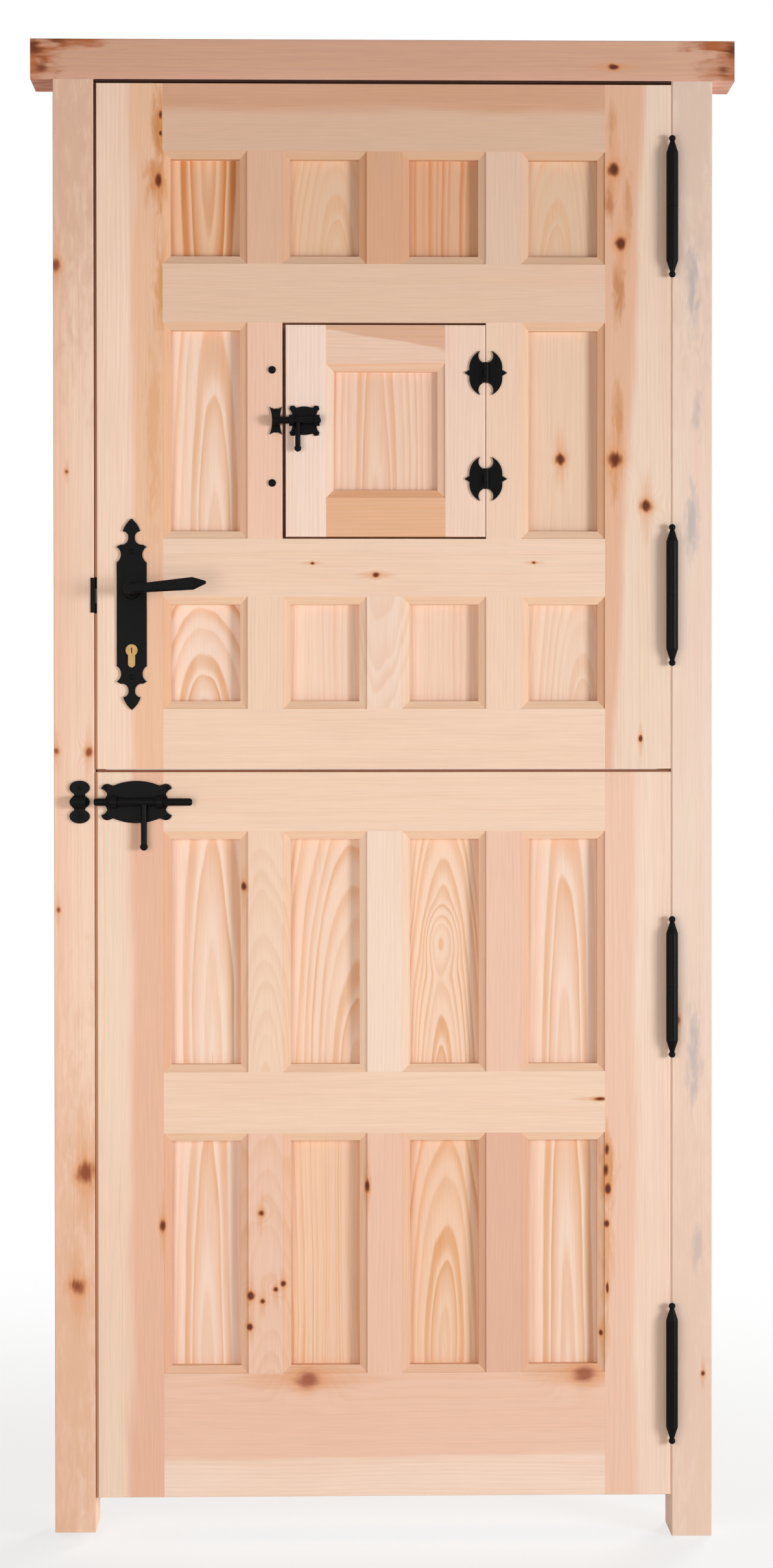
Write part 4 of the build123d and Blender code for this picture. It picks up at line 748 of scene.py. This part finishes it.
# Turned brass of the cylinder: warm yellow, a little cloudy from handling.
brass, tree, shader = new_material("turned_brass", Metallic=1.0, Roughness=0.36)
place = add(tree, "ShaderNodeTexCoord").outputs["Object"]
clouds = add(tree, "ShaderNodeTexNoise", {"Vector": place, "Scale": 1 / (3 * MM), "Detail": 2.0})
yellow = add(
    tree, "ShaderNodeMix", {0: clouds.outputs["Fac"], 6: linear("8A6E47"), 7: linear("A98B5E")},
    data_type="RGBA",
)
tree.links.new(yellow.outputs[2], shader.inputs["Base Color"])
dress(brass, "lock_cylinder", "cylinder_plug")

# Extruded rubber of the seals, dull and a little dusty, in tones that paint the gaps they fill: painted
# shade, brown between the leaves and almost black under the head, and painted light, pale at the hinges.
seals = []
for name, clean, dusty in (
    ("meeting_gap_shade_rubber", "86543C", "98634A"), ("head_gap_shade_rubber", "2A130B", "3A1C12"),
    ("hinge_gap_light_rubber", "E3C3AA", "EBCFB8"),
):
    rubber, tree, shader = new_material(name, Roughness=0.8, Specular_IOR_Level=0.3)
    place = add(tree, "ShaderNodeTexCoord").outputs["Object"]
    dust = add(tree, "ShaderNodeTexNoise", {"Vector": place, "Scale": 1 / (12 * MM), "Detail": 2.0})
    tone = add(
        tree, "ShaderNodeMix", {0: dust.outputs["Fac"], 6: linear(clean), 7: linear(dusty)},
        data_type="RGBA",
    )
    tree.links.new(tone.outputs[2], shader.inputs["Base Color"])
    seals.append(rubber)
meeting_gap_shade_seal, head_gap_shade_seal, hinge_gap_light_seal = seals
# The meeting seal's brown rubber is painted shade in the gap between the leaves.
dress(meeting_gap_shade_seal, "meeting_seal")

# The same rubber in the leaves' strike edge is painted with the shade of its gap: darker the higher it is.
strike_gap_shade_seal, tree, shader = new_material("strike_gap_shade_rubber", Roughness=0.8, Specular_IOR_Level=0.3)
place = add(tree, "ShaderNodeTexCoord").outputs["Object"]
height = add(tree, "ShaderNodeSeparateXYZ", {0: place}).outputs["Z"]
darker_upwards = add(tree, "ShaderNodeMapRange", {"Value": height, "From Min": 1.15, "From Max": 2.08})
tone = add(
    tree, "ShaderNodeMix", {0: darker_upwards.outputs["Result"], 6: linear("BE8767"), 7: linear("4A2416")},
    data_type="RGBA",
)
tree.links.new(tone.outputs[2], shader.inputs["Base Color"])

INTO_ROOM, OUTSIDE = (0.0, -1.0, 0.0), (0.0, 1.0, 0.0)
TO_STRIKE, TO_HINGES, DOWN = (-1.0, 0.0, 0.0), (1.0, 0.0, 0.0), (0.0, 0.0, -1.0)


def lay_surface(name, grids, material, body):
    """Makes a piece of grids of points, where four neighbours are a face, and closes the seams between."""
    count, rows, columns, _ = grids.shape
    corner = np.arange(count * rows * columns).reshape(count, rows, columns)
    faces = np.stack((corner[:, :-1, :-1], corner[:, :-1, 1:], corner[:, 1:, 1:], corner[:, 1:, :-1]), -1)
    mesh = bpy.data.meshes.new(name)
    mesh.from_pydata(grids.reshape(-1, 3).tolist(), [], faces.reshape(-1, 4).tolist())
    shape = bmesh.new()
    shape.from_mesh(mesh)
    bmesh.ops.remove_doubles(shape, verts=shape.verts, dist=0.001 * MM)
    shape.to_mesh(mesh)
    shape.free()
    mesh.materials.append(material)
    piece = bpy.data.objects.new(name, mesh)
    bpy.context.scene.collection.objects.link(piece)
    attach(piece, body)


def screw_heads(name, body, slot, look, places, radius, height):
    """Slotted screw heads: a square grid of u and v drawn to a disc, raised as a dome that ends at the rim
    and sunk where v is near zero, over the same disc left flat. Each is turned further than the last."""
    u = np.linspace(-1, 1, 17)
    v = np.array((-1, -0.85, -0.65, -0.45, -0.25, -0.15, -0.13, 0.13, 0.15, 0.25, 0.45, 0.65, 0.85, 1))
    u, v = np.meshgrid(u, v)
    disc_u, disc_v = u * np.sqrt(1 - v**2 / 2), v * np.sqrt(1 - u**2 / 2)
    in_slot = np.abs(v) < 0.14
    dome = (1 - (disc_u**2 + disc_v**2) ** 2) * np.where(in_slot, 0.35, 1.0) * height * MM
    turn = np.arange(len(places))[:, None, None] * 0.9 + 0.4
    side = (np.cos(turn) * disc_u - np.sin(turn) * disc_v) * radius * MM
    rise = (np.sin(turn) * disc_u + np.cos(turn) * disc_v) * radius * MM
    up, look = np.array((0.0, 0.0, 1.0)), np.array(look)
    middles = np.array(places)[:, None, None, :]
    flat = middles + side[..., None] * np.cross(up, look) + rise[..., None] * up
    domed = flat + dome[None, ..., None] * look
    material = {"black_iron": iron, "lock_steel": steel}[slot]
    lay_surface(name, np.concatenate((domed, flat[:, :, ::-1])), material, body)


def four_round(node, share_x, share_z):
    """Four places round the middle of a plate's box, at shares of its half width and half height."""
    low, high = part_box(node)
    middle, step = (low + high) / 2, (high - low) / 2
    step.x *= share_x
    step.z *= share_z
    return [(middle.x + i * step.x, middle.z + j * step.z) for i in (-1, 1) for j in (-1, 1)]


def above_and_below(node, share_z):
    """Two places above and below the middle of a plate's box, at a share of its half height."""
    return four_round(node, 0.0, share_z)[:2]


# Screws of the plates and keepers: the large ones are as thick as the inner plate, the hatch's are thinner
(leaf_x, face_y, upper_bottom), (_, _, upper_top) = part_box("upper_lock_stile")
hatch_plate_thickness = 2.5 * MM
plate_y, hatch_plate_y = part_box("inner_plate")[0].y, face_y - hatch_plate_thickness
for name, body, y, places, radius, height in (
    ("inner_plate_screws", "upper_leaf", plate_y, above_and_below("inner_plate", 0.655), 3.6, 1.4),
    ("bolt_plate_screws", "lower_leaf", plate_y, four_round("bolt_plate", 0.87, 0.70), 2.5, 1.1),
    ("keeper_screws", "frame", plate_y, above_and_below("bolt_keeper", 0.667), 3.0, 1.2),
    ("hatch_plate_screws", "hatch", hatch_plate_y, four_round("hatch_bolt_plate", 0.742, 0.878), 1.9, 0.8),
    ("hatch_keeper_screws", "upper_leaf", hatch_plate_y, above_and_below("hatch_keeper", 0.78), 1.9, 0.8),
):
    screw_heads(name, body, "black_iron", INTO_ROOM, [(x, y, z) for x, z in places], radius, height)
screw_heads(
    "outer_plate_screws", "upper_leaf", "black_iron", OUTSIDE,
    [(x, -plate_y, z) for x, z in above_and_below("outer_plate", 0.655)], 3.6, 1.4,
)

# Screws of the hatch hinges, in the horns of their crescents
hinge_low, hinge_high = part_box("hatch_hinge_fixed_halves")
hinge_x = (hinge_low.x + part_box("hatch_hinge_moving_halves")[1].x) / 2
half_hinge, screw_out, screw_up = 31.5 * MM, 15.3 * MM, 14.2 * MM
hinge_middles = (hinge_low.z + half_hinge, hinge_high.z - half_hinge)
screw_heights = [middle + rise for middle in hinge_middles for rise in (-screw_up, screw_up)]
for name, body, x in (
    ("fixed_hinge_screws", "upper_leaf", hinge_x + screw_out),
    ("moving_hinge_screws", "hatch", hinge_x - screw_out),
):
    places = [(x, hatch_plate_y, z) for z in screw_heights]
    screw_heads(name, body, "black_iron", INTO_ROOM, places, 2.2, 0.9)

# Screws at the ends of the lock's faceplate and of the strike plate
faceplate_low, faceplate_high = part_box("lock_faceplate")
strike_low, strike_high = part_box("strike_plate")
strike_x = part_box("strike_jamb")[1].x
for name, body, slot, look, x, low_z, high_z, margin, radius in (
    (
        "faceplate_screws", "upper_leaf", "lock_steel", TO_STRIKE, faceplate_low.x,
        faceplate_low.z, faceplate_high.z, 10.5 * MM, 3.4,
    ),
    (
        "strike_screws", "frame", "black_iron", TO_HINGES, strike_x,
        strike_low.z, strike_high.z, 9 * MM, 3.2,
    ),
):
    screw_heads(name, body, slot, look, [(x, 0.0, low_z + margin), (x, 0.0, high_z - margin)], radius, 0.5)


def seal_strip(name, body, material, start, end, width, height, rise):
    """A half-round strip: an angle that runs once round, with its sine cut off below zero, by the length
    between two ends, where the profile shrinks to a point."""
    angle = np.linspace(2 * np.pi, 0, 25)[:, None]
    profile = np.cos(angle) * width / 2 * MM * np.array((0.0, 1.0, 0.0))
    profile = profile + np.maximum(np.sin(angle), 0) * height * MM * np.array(rise)
    ends = np.array((start, start, end, end))[:, None, :]
    grid = ends + np.array((0.0, 1.0, 1.0, 0.0))[:, None, None] * profile
    lay_surface(name, grid[None], material, body)


# The seal in the leaves' strike edge leaves out the strike plate's lip, to pass it when the leaf swings.
(_, _, lower_bottom), (_, _, lower_top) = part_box("lower_lock_stile")
lip_top, lip_height, lip_play = strike_high.z - 6 * MM, 50 * MM, 1 * MM
strike_seal_y, hinge_seal_y, head_seal_y = face_y + 3.6 * MM, face_y + 2.6 * MM, face_y + 4.5 * MM
# Their rubber paints the shade of the gap between leaf and jamb, darker towards the top.
for name, body, low_z, high_z in (
    ("lower_strike_seal", "lower_leaf", lower_bottom, lower_top),
    ("middle_strike_seal", "upper_leaf", upper_bottom, lip_top - lip_height - lip_play),
    ("upper_strike_seal", "upper_leaf", lip_top + lip_play, upper_top),
):
    start, end = (leaf_x, strike_seal_y, high_z), (leaf_x, strike_seal_y, low_z)
    seal_strip(name, body, strike_gap_shade_seal, start, end, width=6, height=3.6, rise=TO_STRIKE)
head_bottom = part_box("head_stop")[1].z
hinge_jamb_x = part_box("hinge_jamb")[0].x
start, end = (hinge_jamb_x, hinge_seal_y, head_bottom), (hinge_jamb_x, hinge_seal_y, lower_bottom)
# The hinge seal's pale rubber is painted light in the gap at the hinges.
seal_strip("hinge_seal", "frame", hinge_gap_light_seal, start, end, width=4, height=1.2, rise=TO_STRIKE)
# The head seal's near-black rubber is painted shade in the gap under the head.
corner_play = 2 * MM
start = (strike_x + corner_play, head_seal_y, head_bottom)
end = (hinge_jamb_x - corner_play, head_seal_y, head_bottom)
seal_strip("head_seal", "frame", head_gap_shade_seal, start, end, width=9, height=3.5, rise=DOWN)


def looking(back, roll=0.0):
    """Axes of a lamp or camera as columns: right, up and backwards, level but for its roll."""
    back = np.asarray(back) / np.linalg.norm(back)
    right = np.cross((0.0, 0.0, 1.0), back)
    right /= np.linalg.norm(right)
    up = np.cross(back, right)
    turned = np.cos(roll) * right + np.sin(roll) * up
    return np.column_stack((turned, np.cross(back, turned), back)).tolist()


# Light: a lamp to the right at half height, a soft one at the left, one on the outside and a pale room
door_middle = (0.0, 0.0, 1.0)
for name, where, size, power, colour in (
    ("key_lamp", (4.4, -3.2, 1.2), 1.6, 192.0, (0.94, 1.0, 1.05)),
    ("fill_lamp", (-1.3, -2.2, 1.0), 1.4, 24.0, (1.0, 0.93, 0.86)),
    ("outside_lamp", (2.2, 4.0, 1.6), 1.5, 140.0, (1.0, 1.0, 1.0)),
):
    light = bpy.data.lights.new(name, "AREA")
    light.shape = "SQUARE"
    light.size = size
    light.energy = power
    light.color = colour
    lamp = bpy.data.objects.new(name, light)
    bpy.context.scene.collection.objects.link(lamp)
    lamp.rotation_euler = Matrix(looking(np.subtract(where, door_middle))).to_euler()
    lamp.location = where


def seen_by_eye(tree):
    """One for rays of the camera, of mirrors and through glass, and nought for rays that gather light."""
    rays = add(tree, "ShaderNodeLightPath").outputs
    seen = rays["Is Camera Ray"]
    for kind in ("Is Glossy Ray", "Is Transmission Ray"):
        seen = add(tree, "ShaderNodeMath", {0: seen, 1: rays[kind]}, operation="MAXIMUM").outputs[0]
    return seen


world = bpy.data.worlds.new("pale_room")
bpy.context.scene.world = world
world.use_nodes = True
tree = world.node_tree
background = tree.nodes["Background"]
strength = add(
    tree, "ShaderNodeMapRange", {"Value": seen_by_eye(tree), "To Min": 0.18, "To Max": 1.0}
)
tree.links.new(strength.outputs["Result"], background.inputs["Strength"])
background.inputs["Color"].default_value = linear("FFFFFF")

# Floor, almost white to the eye and still with the door's shadow
floor_mesh = bpy.data.meshes.new("floor")
reach = 12.0
floor_mesh.from_pydata(
    [(-reach, -reach, 0.0), (reach, -reach, 0.0), (reach, reach, 0.0), (-reach, reach, 0.0)],
    [], [(0, 1, 2, 3)],
)
floor = bpy.data.objects.new("floor", floor_mesh)
bpy.context.scene.collection.objects.link(floor)
pale_floor, tree, shader = new_material("pale_floor", Base_Color=linear("F4F3F1"), Roughness=0.9)
place = add(tree, "ShaderNodeTexCoord").outputs["Object"]
away = add(tree, "ShaderNodeVectorMath", {0: place}, operation="LENGTH")
pale = add(
    tree, "ShaderNodeMapRange",
    {"Value": away.outputs["Value"], "From Min": 0.5, "From Max": 2.4, "To Min": 0.7, "To Max": 1.0},
    interpolation_type="SMOOTHSTEP",
)
share = add(
    tree, "ShaderNodeMath", {0: seen_by_eye(tree), 1: pale.outputs["Result"]}, operation="MULTIPLY"
)
glow = add(tree, "ShaderNodeEmission", {"Color": linear("FFFFFF"), "Strength": 1.0})
mixed = add(
    tree, "ShaderNodeMixShader", {0: share.outputs[0], 1: shader.outputs[0], 2: glow.outputs[0]}
)
tree.links.new(mixed.outputs[0], tree.nodes["Material Output"].inputs["Surface"])
floor_mesh.materials.append(pale_floor)

# Camera: a little left of the middle, at 1.13 m, four metres away
camera_data = bpy.data.cameras.new("camera")
camera_data.sensor_fit = "VERTICAL"
camera_data.sensor_height = 36.0
camera_data.lens = 64.65
camera = bpy.data.objects.new("camera", camera_data)
bpy.context.scene.collection.objects.link(camera)
where, yaw, pitch, roll = (-0.0737, -4.0683, 1.127), 0.0192, -0.01013, -0.00079
forward = np.array((np.sin(yaw) * np.cos(pitch), np.cos(yaw) * np.cos(pitch), np.sin(pitch)))
camera.matrix_world = Matrix.Translation(where) @ Matrix(looking(-forward, roll)).to_4x4()
bpy.context.scene.camera = camera
bpy.context.scene.view_settings.view_transform = "Standard"
